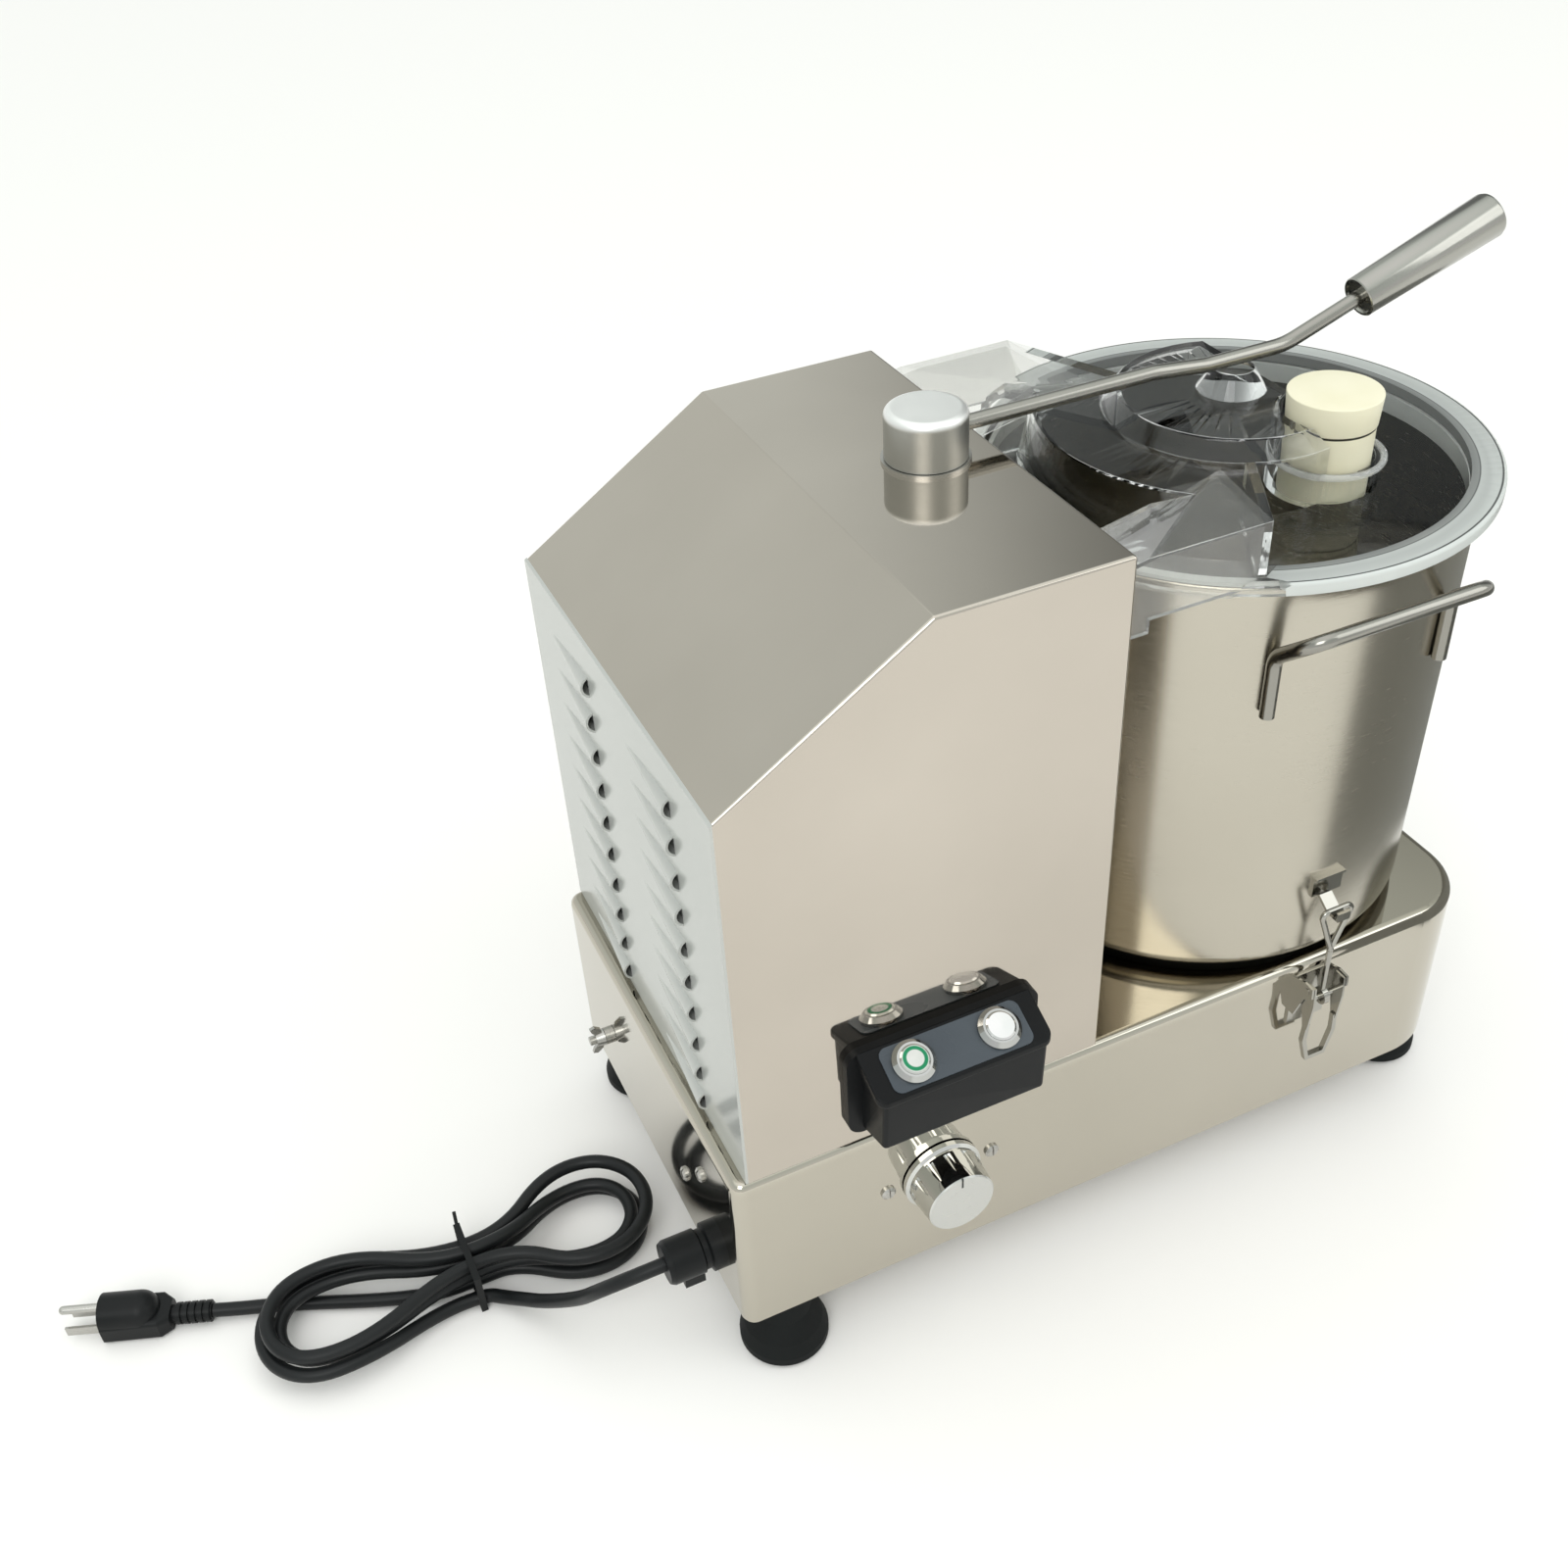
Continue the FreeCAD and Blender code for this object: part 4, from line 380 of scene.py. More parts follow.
# Painted shade: the top face of the base is drawn darker than its sides.
painted_shade_past(steel_base, BASE_TOP - 0.6 * MM, BASE_TOP - 0.2 * MM, (0.74, 0.73, 0.70))
steel_bowl = metal("bowl_steel_brushed", (0.485, 0.452, 0.383), (0.530, 0.498, 0.426),
                   smooth=0.18, rough=0.30, group=AROUND, depth=0.5, distance=0.00004)
grip_steel = metal("grip_steel_turned", (0.29, 0.285, 0.26), (0.38, 0.375, 0.345),
                   smooth=0.12, rough=0.22, group=ALONG_X, depth=0.08)
steel_rod = metal("rod_steel_satin", (0.28, 0.272, 0.245), (0.35, 0.34, 0.31),
                  smooth=0.16, rough=0.26, group=ALONG_X, depth=0.06)
steel_hidden = metal("machined_steel", (0.42, 0.41, 0.385), (0.52, 0.51, 0.48),
                     smooth=0.22, rough=0.36, group=AROUND)
blade_steel = metal("blade_steel_ground", (0.50, 0.50, 0.49), (0.60, 0.60, 0.59),
                    smooth=0.12, rough=0.24, group=ALONG_X)
chrome = metal("chrome_bright", (0.42, 0.425, 0.415), (0.50, 0.505, 0.49),
               smooth=0.04, rough=0.10, group=AROUND, depth=0.1)
stop_face = metal("stop_face_polished", (0.70, 0.70, 0.69), (0.78, 0.78, 0.77),
                  smooth=0.06, rough=0.14, group=AROUND, depth=0.1)
wire_chrome = metal("latch_steel_bright", (0.34, 0.33, 0.30), (0.42, 0.41, 0.375),
                    smooth=0.08, rough=0.16, group=ALONG_Z, depth=0.2)
cap_alloy = metal("cap_alloy_blasted", (0.90, 0.90, 0.88), (0.96, 0.96, 0.94),
                  smooth=0.36, rough=0.48, group=AROUND, depth=0.6, distance=0.00006)
# Painted shade: the cap's sides are drawn darker below its lighter top face.
painted_shade_past(cap_alloy, CAP_TOP - 1.0 * MM, CAP_TOP - 5.0 * MM, (0.44, 0.44, 0.42))
cast_alloy = metal("cast_alloy", (0.42, 0.42, 0.42), (0.52, 0.52, 0.52),
                   smooth=0.42, rough=0.60, group=AROUND, depth=0.8, distance=0.0001)
pulley_iron = metal("pulley_iron", (0.20, 0.20, 0.21), (0.29, 0.29, 0.30),
                    smooth=0.40, rough=0.60, group=AROUND, depth=0.6, distance=0.0001)

black_box = moulded("box_plastic_black", (0.0045, 0.0050, 0.0055), (0.0080, 0.0088, 0.0095),
                    smooth=0.34, rough=0.50, grain=1100.0, depth=0.25, specular=0.14)
black_gloss = moulded("gland_nylon_black", (0.0050, 0.0058, 0.0060), (0.0100, 0.0110, 0.0115),
                      smooth=0.30, rough=0.44, grain=900.0, depth=0.12, specular=0.18)
panel_film = moulded("panel_film_slate", (0.050, 0.062, 0.075), (0.066, 0.080, 0.094),
                     smooth=0.22, rough=0.34, grain=1600.0, depth=0.1)
foot_rubber = moulded("foot_rubber_black", (0.006, 0.007, 0.007), (0.011, 0.013, 0.013),
                      smooth=0.55, rough=0.75, grain=700.0, depth=0.5, specular=0.12)
cord_jacket = moulded("cord_jacket_black", (0.0060, 0.0070, 0.0075), (0.0120, 0.0135, 0.0140),
                      smooth=0.32, rough=0.46, grain=1200.0, depth=0.15, specular=0.24)
cream_nylon = moulded("stopper_nylon_cream", (0.78, 0.735, 0.525), (0.84, 0.80, 0.62),
                      smooth=0.38, rough=0.52, grain=500.0, depth=0.12)
# Painted shadow: a dark tone in the groove under the stopper's head.
groove_painted_shadow = moulded("stopper_groove_painted_shadow", (0.045, 0.042, 0.032), (0.07, 0.066, 0.052),
                       smooth=0.5, rough=0.7, grain=500.0, depth=0.1)
baffle_grey = moulded("baffle_paint_grey", (0.24, 0.25, 0.24), (0.32, 0.33, 0.32),
                      smooth=0.5, rough=0.7, grain=700.0, depth=0.2)
pale_silicone = moulded("seal_silicone_pale", (0.66, 0.68, 0.66), (0.76, 0.78, 0.76),
                        smooth=0.45, rough=0.6, grain=600.0, depth=0.2)

lid_disc = clear_plastic("lid_disc_clear", (0.92, 0.94, 0.94), (0.95, 0.965, 0.965),
                         clarity=1.0, gloss=0.25, smooth=0.01, rough=0.05)
lid_hood = clear_plastic("lid_hood_clear", (0.985, 0.99, 0.99), (1.0, 1.0, 1.0),
                         clarity=1.0, gloss=0.55, smooth=0.01, rough=0.04)
lid_wing = clear_plastic("lid_wing_clear", (0.80, 0.80, 0.78), (0.87, 0.87, 0.85),
                         clarity=0.93, gloss=0.8, smooth=0.01, rough=0.06)
lid_rim = rim_plastic("lid_rim_cloudy", RIM_TONES_AND_PAINTED_LINES, clarity=0.25, gloss=0.4, smooth=0.12, rough=0.24)
lid_ring = clear_plastic("lid_ring_cloudy", (0.86, 0.87, 0.84), (0.92, 0.93, 0.90),
                         clarity=0.10, gloss=0.4, smooth=0.10, rough=0.22)
lid_bead = clear_plastic("lid_bead_clear", (0.94, 0.95, 0.94), (0.98, 0.99, 0.98),
                         clarity=0.78, gloss=0.8, smooth=0.02, rough=0.08)
# Painted highlight: nearly opaque white plastic on the eased edges of the lid's raised part, for their
# bright edge lines.
lid_edge_highlight = clear_plastic("lid_edge_painted_highlight", (0.92, 0.93, 0.92), (0.97, 0.98, 0.97),
                         clarity=0.16, gloss=0.6, smooth=0.08, rough=0.16)

start_face = ringed_cap("start_face_green_ring", middle("start_button"), BUTTON_AXIS, 4.6 * MM, 6.6 * MM,
                        face_colour=(0.60, 0.61, 0.58), ring_colour=(0.02, 0.22, 0.10))
knob_chrome = knob_finish("knob_chrome", middle("speed_knob"), KNOB_AXIS, KNOB_FACE,
                          face_colour=(0.60, 0.605, 0.585), line_colour=(0.05, 0.05, 0.05))

FINISHES = {
    steel_front: ["housing_shell"],
    steel_vent: ["vent_panel"],
    steel_base: ["base_shell", "base_plate"],
    steel_bowl: ["bowl"],
    steel_rod: ["bowl_handle_front", "bowl_handle_back", "arm_rod"],
    steel_hidden: ["arm_shaft", "arm_bush", "motor_shaft", "spindle_shaft", "motor_plate",
                   "spindle_bearings", "foot_screws", "case_screws", "blade_hub", "blade_cap",
                   "earth_stud", "wing_nut", "plug_blades"],
    blade_steel: ["lower_blade", "upper_blade"],
    chrome: ["button_bezels"],
    stop_face: ["stop_button"],
    start_face: ["start_button"],
    knob_chrome: ["speed_knob"],
    wire_chrome: ["latch_bracket_front", "latch_bracket_back", "latch_lever_front", "latch_lever_back",
                  "latch_bail_front", "latch_bail_back", "keeper_front", "keeper_back"],
    cap_alloy: ["arm_cap"],
    cast_alloy: ["motor_body", "motor_fan", "bearing_housing", "speed_board", "blade_spacer"],
    pulley_iron: ["motor_pulley", "spindle_pulley"],
    black_box: ["interlock_switch", "potentiometer"],
    black_gloss: ["cable_gland", "mains_plug", "cord_tie"],
    panel_film: ["control_panel"],
    foot_rubber: ["rubber_feet", "bowl_seat", "drive_belt"],
    cord_jacket: ["cord_lead", "cord_hank", "cord_tail"],
    pale_silicone: ["lid_seal"],
}
for material, names in FINISHES.items():
    for name in names:
        slots = nodes[name].data.materials
        slots.clear()
        slots.append(material)


# Tools for the pieces shaped here

SHARP = math.radians(30)
FLAT = math.radians(0.5)


def merged_copy(name):
    """A copy of a solid's own mesh with its loose triangles joined."""
    shape = bmesh.new()
    shape.from_mesh(nodes[name].data)
    bmesh.ops.remove_doubles(shape, verts=shape.verts, dist=0.02 * MM)
    return shape


def turned(profile, axis, steps=128):
    """A closed ring or a solid of revolution from a profile of radius and height in millimetres."""
    shape = bmesh.new()
    verts = [shape.verts.new(axis + Vector((radius, 0.0, height)) * MM) for radius, height in profile]
    edges = [shape.edges.new(pair) for pair in zip(verts, verts[1:])]
    if profile[0][0] > 0.0:
        edges.append(shape.edges.new((verts[-1], verts[0])))
    bmesh.ops.spin(shape, geom=verts + edges, cent=axis, axis=UPRIGHT, angle=math.tau, steps=steps,
                   use_merge=True)
    bmesh.ops.remove_doubles(shape, verts=shape.verts, dist=0.01 * MM)
    poles = [vert for vert in shape.verts if (vert.co - axis).to_2d().length < 0.01 * MM]
    bmesh.ops.dissolve_verts(shape, verts=poles)
    bmesh.ops.recalc_face_normals(shape, faces=shape.faces)
    return shape


def ease(shape, edges, width, segments):
    """Bevel some edges and give back the new faces."""
    made = bmesh.ops.bevel(shape, geom=edges, offset=width, offset_type="OFFSET", segments=segments,
                           profile=0.5, affect="EDGES", clamp_overlap=True, material=-1)
    return made["faces"]


def is_sharp(edge):
    return edge.calc_face_angle(0.0) > SHARP


def lowest(edge):
    return min(vert.co.z for vert in edge.verts)


def highest(edge):
    return max(vert.co.z for vert in edge.verts)


def finish_piece(shape, name, body, materials):
    """Turn a modelled shape into a piece that rides on a body."""
    for edge in shape.edges:
        edge.smooth = edge.calc_face_angle(0.0) < SHARP
    for face in shape.faces:
        face.smooth = any(FLAT < edge.calc_face_angle(0.0) < SHARP for edge in face.edges)
    mesh = bpy.data.meshes.new(name)
    shape.to_mesh(mesh)
    shape.free()
    for material in materials:
        mesh.materials.append(material)
    piece = bpy.data.objects.new(name, mesh)
    bpy.context.scene.collection.objects.link(piece)
    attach(piece, body)
    return piece


# Sheet behind the vents

BAFFLE_THICKNESS = 1.0 * MM
BAFFLE_MARGIN = 14.0 * MM


def make_vent_baffle():
    """A thin painted sheet close behind the vent scoops, which keeps splashes out of the motor."""
    low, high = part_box("vent_panel")
    shape = bmesh.new()
    bmesh.ops.create_cube(shape, size=1.0)
    reach = high - low - Vector((0.0, 2 * BAFFLE_MARGIN, 2 * BAFFLE_MARGIN))
    reach.x = BAFFLE_THICKNESS
    bmesh.ops.scale(shape, vec=reach, verts=shape.verts)
    place = (low + high) / 2
    place.x = high.x + BAFFLE_THICKNESS
    bmesh.ops.translate(shape, vec=place, verts=shape.verts)
    ease(shape, list(shape.edges), 0.3 * MM, 2)
    finish_piece(shape, "vent_baffle", "machine", [baffle_grey])


# Console of the push buttons

FLANGE_DEPTH = 4.4 * MM
FLANGE_REACH = 5.5 * MM
FLANGE_RISE = 7.0 * MM
FLANGE_CORNER = 9.0 * MM
FLANGE_DROP = 8.6 * MM


def make_console():
    """The console, its wall flange level with the back of the sloped top, so the wall mirrors the panel."""
    shape = merged_copy("control_box")
    low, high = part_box("control_box")
    axis = (low.x + high.x) / 2
    half_cap = (high.x - low.x) / 2 - FLANGE_REACH
    for vert in shape.verts:
        on_flange = vert.co.y > high.y - FLANGE_DEPTH - 0.1 * MM
        in_top = vert.co.z > high.z - FLANGE_CORNER - 0.2 * MM
        beside_cap = abs(vert.co.x - axis) > half_cap + 1.0 * MM
        above_cap = vert.co.z > high.z - FLANGE_RISE + 0.5 * MM
        if on_flange and in_top and (beside_cap or above_cap):
            vert.co.z -= FLANGE_DROP
    console = finish_piece(shape, "control_console", "machine", [black_box])
    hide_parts("control_box")


# Grip of the locking arm, in millimetres along its own axis

GRIP_SLOPE = math.atan2(44.5, 128.5)
GRIP_TIP_OUT = 160.0
GRIP_LENGTH = 88.0
GRIP_THIN, GRIP_THICK = 11.0, 12.5
GRIP_SHOULDER = 3.0
ROD_BORE, ROD_SEAT = 4.1, 30.0
RECESS, RECESS_DEPTH = 8.6, 1.2


def make_grip():
    """The turned steel grip on the arm, with a recessed end round the rod."""
    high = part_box("arm_handle")[1]
    over_tip = GRIP_THICK * math.cos(GRIP_SLOPE) - GRIP_SHOULDER * math.sin(GRIP_SLOPE)
    tip = Vector((BOWL_AXIS.x + GRIP_TIP_OUT * MM, 0.0, high.z - over_tip * MM))
    along = Vector((math.cos(GRIP_SLOPE), 0.0, math.sin(GRIP_SLOPE)))
    bore = [(0.0, ROD_SEAT), (ROD_BORE, ROD_SEAT), (ROD_BORE, RECESS_DEPTH), (RECESS, RECESS_DEPTH)]
    thin_end = [(RECESS + 0.6, 0.0), (GRIP_THIN - 0.5, 0.0), (GRIP_THIN, 0.6)]
    thick_end = [(GRIP_THICK, GRIP_LENGTH - GRIP_SHOULDER), (GRIP_THICK - 0.8, GRIP_LENGTH - 1.0),
                 (GRIP_THICK - 2.5, GRIP_LENGTH), (0.0, GRIP_LENGTH)]
    shape = turned(bore + thin_end + thick_end, ORIGIN, 96)
    lean = Matrix.Rotation(math.pi / 2 - GRIP_SLOPE, 3, "Y")
    bmesh.ops.rotate(shape, cent=ORIGIN, matrix=lean, verts=shape.verts)
    bmesh.ops.translate(shape, vec=tip - along * GRIP_LENGTH * MM, verts=shape.verts)
    grip = finish_piece(shape, "arm_grip", "arm", [grip_steel])
    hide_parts("arm_handle")


# Clear lid with its locating ring, and the stopper in its feed tube

LID_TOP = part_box("lid")[1][2] - 45.7 * MM
LID_RAISED = LID_TOP + 0.4 * MM
LID_FINISHES = [lid_disc, lid_rim, lid_hood, lid_wing, lid_edge_highlight]
DISC, RIM, HOOD, WING, EDGE_HIGHLIGHT = range(5)
WING_INNER = 60.0 * MM
WING_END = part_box("lid")[0][0] + 85.5 * MM
PLAIN_BACK = WING_END + 25.0 * MM
RIM_INNER = 125.5 * MM
SKIRT_HEIGHT = 6.5 * MM
EDGE_WIDTH = 1.2 * MM
FEED_AXIS = Vector((149.6, -46.0, 0.0)) * MM
COLLAR_REACH = 31.0 * MM
COLLAR_LOW, COLLAR_HIGH = LID_TOP + 13.5 * MM, LID_TOP + 17.5 * MM
COLLAR_DROP = 8.0 * MM


def lid_finish(centre):
    """Which finish a face of the lid takes, from where its middle is."""
    if abs(centre.y) > WING_INNER and centre.x < WING_END:
        return WING
    if centre.z > LID_RAISED:
        return HOOD
    if math.hypot(centre.x - BOWL_AXIS.x, centre.y) > RIM_INNER:
        return RIM
    return DISC


def is_highlight_edge(edge):
    """Whether an edge of the lid's raised part is eased and painted as a highlight. The corner at the back
    by the housing is left.
    """
    at_back = max(vert.co.y for vert in edge.verts) > 0.0
    by_housing = min(vert.co.x for vert in edge.verts) < PLAIN_BACK
    return edge.is_convex and is_sharp(edge) and lowest(edge) > LID_RAISED and not (at_back and by_housing)


def make_lid():
    """The lid's own sheet with a short skirt, a low feed tube and eased edges on its raised part, painted as
    bright highlights.
    """
    shape = merged_copy("lid")
    skirt_low = min(vert.co.z for vert in shape.verts)
    for vert in shape.verts:
        from_feed = (vert.co - FEED_AXIS).to_2d().length
        if vert.co.z < skirt_low + 0.5 * MM:
            vert.co.z = LID_TOP - SKIRT_HEIGHT
        elif from_feed < COLLAR_REACH and COLLAR_LOW < vert.co.z < COLLAR_HIGH:
            vert.co.z -= COLLAR_DROP
    for face in shape.faces:
        face.material_index = lid_finish(face.calc_center_median())
    raised = [edge for edge in shape.edges if is_highlight_edge(edge)]
    # The eased faces take the painted highlight.
    for face in ease(shape, raised, EDGE_WIDTH, 1):
        face.material_index = EDGE_HIGHLIGHT
    bmesh.ops.dissolve_degenerate(shape, dist=0.01 * MM, edges=shape.edges)
    lid = finish_piece(shape, "clear_lid", "machine", LID_FINISHES)
    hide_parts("lid")


RING_BELOW, RING_TALL = 8.5, 11.0
RING_INNER, RING_OUTER = 126.0, 128.6
RING_TAPER = 0.4


def make_locating_ring():
    """The lid's short ring that drops into the bowl and centres it."""
    top = LID_TOP / MM - RING_BELOW
    low = top - RING_TALL
    profile = [(RING_INNER, top), (RING_OUTER, top), (RING_OUTER, low), (RING_INNER + RING_TAPER, low)]
    shape = turned(profile, BOWL_AXIS, 192)
    low_edges = [edge for edge in shape.edges if highest(edge) < (low + 0.1) * MM]
    ease(shape, [edge for edge in low_edges if is_sharp(edge)], 0.6 * MM, 2)
    finish_piece(shape, "lid_locating_ring", "machine", [lid_ring])


BEAD_HEIGHT = 8.6
BEAD_RADIUS = 28.9
BEAD_THICKNESS = 1.9
BEAD_CORNERS = 10


def make_feed_bead():
    """The rolled clear bead round the mouth of the feed tube."""
    level = LID_TOP / MM + BEAD_HEIGHT
    profile = []
    for corner in range(BEAD_CORNERS):
        angle = math.tau * corner / BEAD_CORNERS
        out, rise = BEAD_THICKNESS * math.cos(angle), BEAD_THICKNESS * math.sin(angle)
        profile.append((BEAD_RADIUS + out, level + rise))
    finish_piece(turned(profile, FEED_AXIS), "feed_tube_bead", "machine", [lid_bead])


STOPPER_BODY, STOPPER_GROOVE = 22.8, 22.0
HEAD_FOOT, HEAD_BROAD = 23.3, 24.4
HEAD_BELOW, HEAD_ABOVE = 11.6, 4.6
GROOVE_TALL = 1.2


def make_stopper():
    """A turned nylon stopper with a tapered head, a fine groove under it painted dark as shadow, and a plain
    body in the tube.
    """
    low, high = (corner.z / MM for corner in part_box("feed_stopper"))
    head_low, head_top = high - HEAD_BELOW, high + HEAD_ABOVE
    groove_low = head_low - GROOVE_TALL
    body = [(0.0, low), (STOPPER_BODY, low), (STOPPER_BODY, groove_low)]
    groove = [(STOPPER_GROOVE, groove_low + 0.2), (STOPPER_GROOVE, head_low)]
    head = [(HEAD_FOOT, head_low), (HEAD_BROAD, head_top), (0.0, head_top)]
    shape = turned(body + groove + head, FEED_AXIS)
    rims = [edge for edge in shape.edges if is_sharp(edge) and lowest(edge) > (head_low - 0.5) * MM]
    ease(shape, rims, 1.0 * MM, 4)
    # Faces in the groove take the painted shadow.
    for face in shape.faces:
        height = face.calc_center_median().z / MM
        in_groove = groove_low - 0.1 < height < head_low + 0.05
        face.material_index = 1 if in_groove else 0
    stopper = finish_piece(shape, "nylon_stopper", "stopper", [cream_nylon, groove_painted_shadow])
    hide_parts("feed_stopper")


make_vent_baffle()
make_console()
make_grip()
make_lid()
make_locating_ring()
make_feed_bead()
make_stopper()


# Mains cord, laid in a tied hank, with its route in millimetres

CORD_DIAMETER = 8.5 * MM
HANK_CENTRE = Vector((-365, 4, 0))
HANK_LEVELS = (5.65, 15.35, 25.05)
LEFT_REACH, RIGHT_REACH = 134.0, 104.0
WIDE, MIDDLE, NARROW = 36.0, 30.9, 25.8
WAIST_STEP = 11.016
RUN_SHARE = 0.26
TURN_SHARE = 0.414
RIGHT_SINK = 1.2


def hank_turn(side, radius, level, waist_in, waist_out, start_x=0.0):
    """Control points from the waist round one end of the hank and back; side is -1 for left, 1 for right."""
    reach = LEFT_REACH if side < 0 else RIGHT_REACH
    end = side * (reach - WIDE + radius)
    flare = end - side * radius
    z = HANK_LEVELS[level] - (RIGHT_SINK if side > 0 else 0.0)
    run = RUN_SHARE * (flare - start_x)
    curl = side * TURN_SHARE * radius
    in_y, in_z = waist_in[0] * WAIST_STEP, HANK_LEVELS[waist_in[1]]
    out_y, out_z = waist_out[0] * WAIST_STEP, HANK_LEVELS[waist_out[1]]
    first = side * radius
    return [
        (start_x + run, in_y, in_z),
        (flare - run, first, z),
        (flare + curl, first, z),
        (end, curl, z),
        (end, -curl, z),
        (flare + curl, -first, z),
        (flare * (1 - RUN_SHARE), -first, z),
        (flare * RUN_SHARE, out_y, out_z),
    ]


def cord_route():
    """Control points from the gland through the hank to the plug."""
    lead = [(-267, -100, 84), (-281.4, -100, 84), (-296.4, -97.1, 80), (-309.1, -91.5, 72.4),
            (-318.1, -83.9, 61.9), (-325.6, -69.3, 41.9), (-341.6, -46, 20), (-352.1, -33.2, 13),
            (-360.8, -22.6, 7), (-370.5, -14.2, 5.65)]
    turns = hank_turn(-1, WIDE, 1, (-1.65, 0), (1.32, 1), -12.0)
    turns += hank_turn(1, WIDE, 2, (1.32, 1), (-0.8, 2))
    turns += hank_turn(-1, MIDDLE, 2, (-0.8, 2), (0.15, 2))
    turns += hank_turn(1, NARROW, 1, (0.15, 2), (-0.7, 1))
    turns += hank_turn(-1, NARROW, 1, (-0.7, 1), (0.26, 1))
    turns += hank_turn(1, MIDDLE, 0, (0.26, 1), (-0.5, 0))
    tail = [(-373.5, -1.5, 5.65), (-395, -0.4, 5), (-417, 7, 4.5), (-440, 16.5, 4.45), (-464, 27.5, 4.5),
            (-487, 37.4, 4.7), (-507, 43.6, 5.8), (-522, 48.5, 7.5)]
    hank = [HANK_CENTRE + Vector(point) for point in turns]
    return [Vector(point) * MM for point in lead + hank + tail]


def make_cord():
    """One round cord swept along its route."""
    curve = bpy.data.curves.new("mains_cord", "CURVE")
    curve.dimensions = "3D"
    curve.bevel_depth = CORD_DIAMETER / 2
    curve.bevel_resolution = 5
    curve.resolution_u = 8
    route = cord_route()
    spline = curve.splines.new("NURBS")
    spline.points.add(len(route) - 1)
    for point, place in zip(spline.points, route):
        point.co = (*place, 1.0)
    spline.order_u = 3
    spline.use_endpoint_u = True
    cord = bpy.data.objects.new("mains_cord", curve)
    bpy.context.scene.collection.objects.link(cord)
    curve.materials.append(cord_jacket)
    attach(cord, "machine")
    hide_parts("cord_lead", "cord_hank", "cord_tail")


make_cord()


# Floor, light and camera, in metres

FLOOR_HALF = 9.0
FLOOR_COLOUR = (0.935, 0.915, 0.895, 1.0)
CARD_RADIUS, CARD_HEIGHT = 0.33, 0.36
CARD_FIRST, CARD_LAST = math.radians(-66), math.radians(20)
CARD_STEPS = 16
CARD_COLOUR = (0.33, 0.335, 0.325, 1.0)
SKY_LOW, SKY_HIGH = 0.95, 1.45
SKY_BETWEEN = ((0.36, 0.80), (0.50, 0.80), (0.63, 0.72), (0.80, 1.15))
DIM_STRENGTH = 0.28
BACKDROP_COLOUR = (0.93, 0.93, 0.92, 1.0)
LIGHT_TARGET = Vector((0.0, 0.0, 0.2))
LIGHT_SIZE = 1.6
CAMERA_PLACE = (-0.42253, -0.66457, 0.86165)
CAMERA_AZIMUTH = math.radians(-22.36)
CAMERA_ELEVATION = math.radians(37.89)
CAMERA_ROLL = math.radians(-3.87)
CAMERA_LENS = 38.786


def stage_piece(shape, name, colour, roughness):
    """Turn a shape into a piece of the studio."""
    mesh = bpy.data.meshes.new(name)
    shape.to_mesh(mesh)
    shape.free()
    piece = bpy.data.objects.new(name, mesh)
    bpy.context.scene.collection.objects.link(piece)
    material, tree, shader = base_material(name + "_paint")
    shader.inputs["Base Color"].default_value = colour
    shader.inputs["Roughness"].default_value = roughness
    mesh.materials.append(material)
    return piece


def make_stage():
    """The plain studio floor."""
    shape = bmesh.new()
    bmesh.ops.create_grid(shape, x_segments=1, y_segments=1, size=FLOOR_HALF)
    floor = stage_piece(shape, "studio_floor", FLOOR_COLOUR, 0.8)


def make_grey_card():
    """A curved grey card beside the bowl, seen only by polished metal, for the dark band on its right."""
    shape = bmesh.new()
    foot = BOWL_AXIS + CARD_RADIUS * Vector((math.cos(CARD_FIRST), math.sin(CARD_FIRST), 0.0))
    ends = [shape.verts.new(foot), shape.verts.new(foot + CARD_HEIGHT * Vector(UPRIGHT))]
    side = shape.edges.new(ends)
    bmesh.ops.spin(shape, geom=ends + [side], cent=BOWL_AXIS, axis=UPRIGHT, angle=CARD_LAST - CARD_FIRST,
                   steps=CARD_STEPS)
    card = stage_piece(shape, "grey_card", CARD_COLOUR, 0.9)
    card.visible_camera = False
    card.visible_diffuse = False
    card.visible_transmission = False
    card.visible_shadow = False


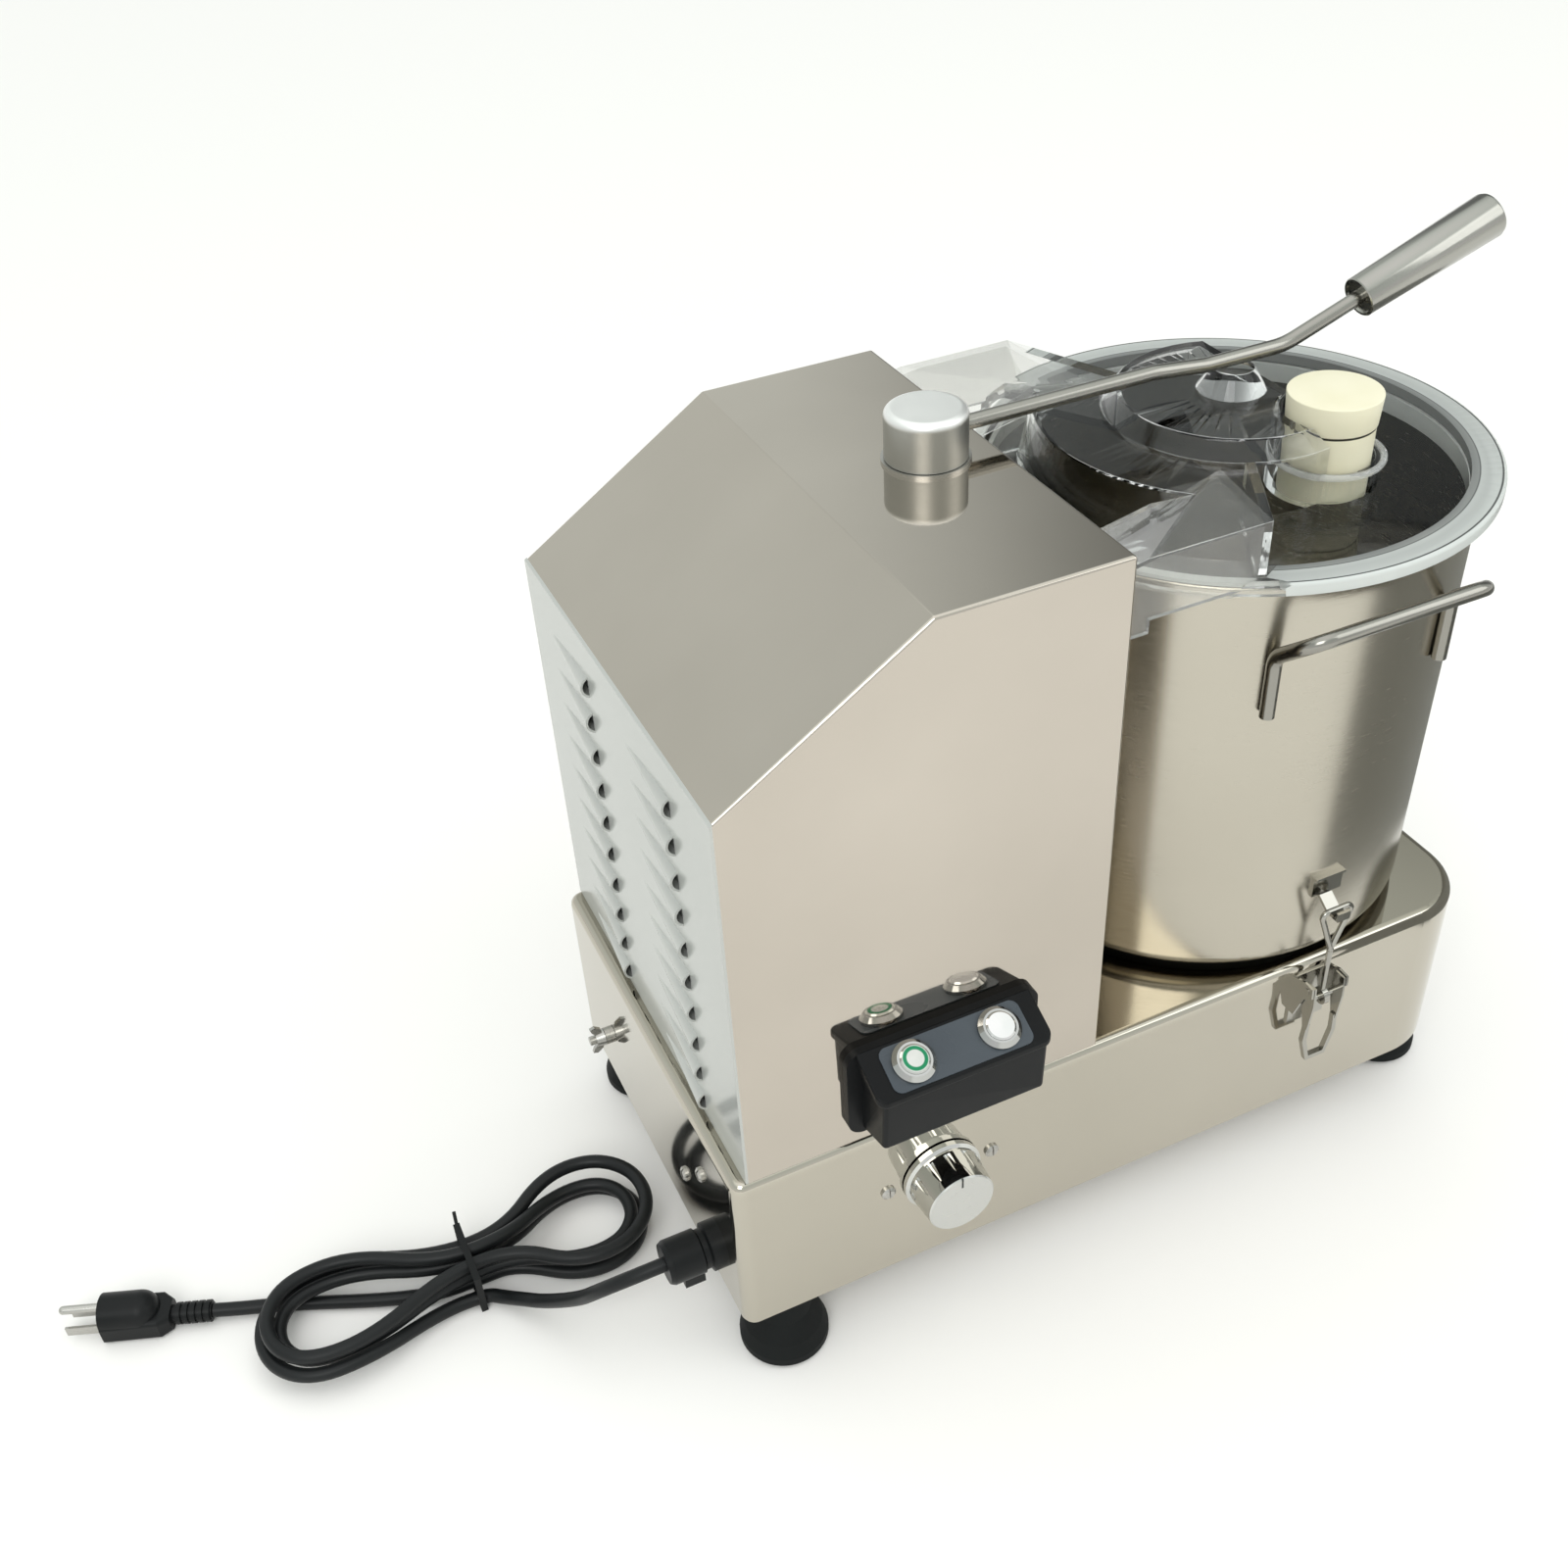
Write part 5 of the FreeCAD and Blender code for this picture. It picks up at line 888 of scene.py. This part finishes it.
def make_world():
    """A pale backdrop, with a dimmer corner behind the machine on the right that only the steel mirrors."""
    world = bpy.data.worlds.new("studio")
    bpy.context.scene.world = world
    world.use_nodes = True
    tree = world.node_tree
    background = tree.nodes["Background"]
    place = tree.nodes.new("ShaderNodeTexCoord")
    split = tree.nodes.new("ShaderNodeSeparateXYZ")
    ramp = tree.nodes.new("ShaderNodeValToRGB")
    stops = ramp.color_ramp.elements
    stops[0].position, stops[0].color = 0.0, (SKY_LOW, SKY_LOW, SKY_LOW, 1.0)
    stops[1].position, stops[1].color = 1.0, (SKY_HIGH, SKY_HIGH, SKY_HIGH, 1.0)
    for level, glow in SKY_BETWEEN:
        stops.new(level).color = (glow, glow * 1.06, glow * 1.03, 1.0)
    link(tree, place.outputs["Generated"], split.inputs["Vector"])
    link(tree, split.outputs["Z"], ramp.inputs["Fac"])
    link(tree, ramp.outputs["Color"], background.inputs["Color"])
    to_right = step_between(tree, split.outputs["X"], 0.28, 0.62)
    to_back = step_between(tree, split.outputs["Y"], 0.0, 0.35)
    below_top = step_between(tree, split.outputs["Z"], 0.66, 0.54)
    dim = product(tree, to_right, to_back, below_top)
    link(tree, step_between(tree, dim, 0.0, 1.0, 1.0, DIM_STRENGTH), background.inputs["Strength"])
    backdrop = tree.nodes.new("ShaderNodeBackground")
    backdrop.inputs["Color"].default_value = BACKDROP_COLOUR
    path = tree.nodes.new("ShaderNodeLightPath")
    choice = tree.nodes.new("ShaderNodeMixShader")
    link(tree, path.outputs["Is Camera Ray"], choice.inputs[0])
    link(tree, background.outputs["Background"], choice.inputs[1])
    link(tree, backdrop.outputs["Background"], choice.inputs[2])
    link(tree, choice.outputs["Shader"], tree.nodes["World Output"].inputs["Surface"])


def area_light(name, place, power):
    """A square softbox that points at the machine."""
    data = bpy.data.lights.new(name, "AREA")
    data.shape = "SQUARE"
    data.size = LIGHT_SIZE
    data.energy = power
    light = bpy.data.objects.new(name, data)
    light.location = place
    light.rotation_euler = (LIGHT_TARGET - Vector(place)).to_track_quat("-Z", "Y").to_euler()
    bpy.context.scene.collection.objects.link(light)


def make_camera():
    """The camera at the photo's viewing angle."""
    flat = math.cos(CAMERA_ELEVATION)
    to_side, to_front = math.sin(CAMERA_AZIMUTH) * flat, -math.cos(CAMERA_AZIMUTH) * flat
    back = Vector((to_side, to_front, math.sin(CAMERA_ELEVATION)))
    level = (-back).cross(Vector(UPRIGHT)).normalized()
    upward = level.cross(-back)
    right = math.cos(CAMERA_ROLL) * level + math.sin(CAMERA_ROLL) * upward
    up = -math.sin(CAMERA_ROLL) * level + math.cos(CAMERA_ROLL) * upward
    data = bpy.data.cameras.new("photo_camera")
    data.sensor_width = 36.0
    data.lens = CAMERA_LENS
    camera = bpy.data.objects.new("photo_camera", data)
    turn = Matrix((right, up, back)).transposed().to_4x4()
    camera.matrix_world = Matrix.Translation(CAMERA_PLACE) @ turn
    bpy.context.scene.collection.objects.link(camera)
    bpy.context.scene.camera = camera


make_stage()
make_grey_card()
make_world()
area_light("key_softbox", (-1.6, -2.0, 2.4), 30.0)
area_light("fill_softbox", (2.0, -1.4, 2.0), 12.0)
make_camera()
bpy.context.scene.view_settings.view_transform = "Standard"
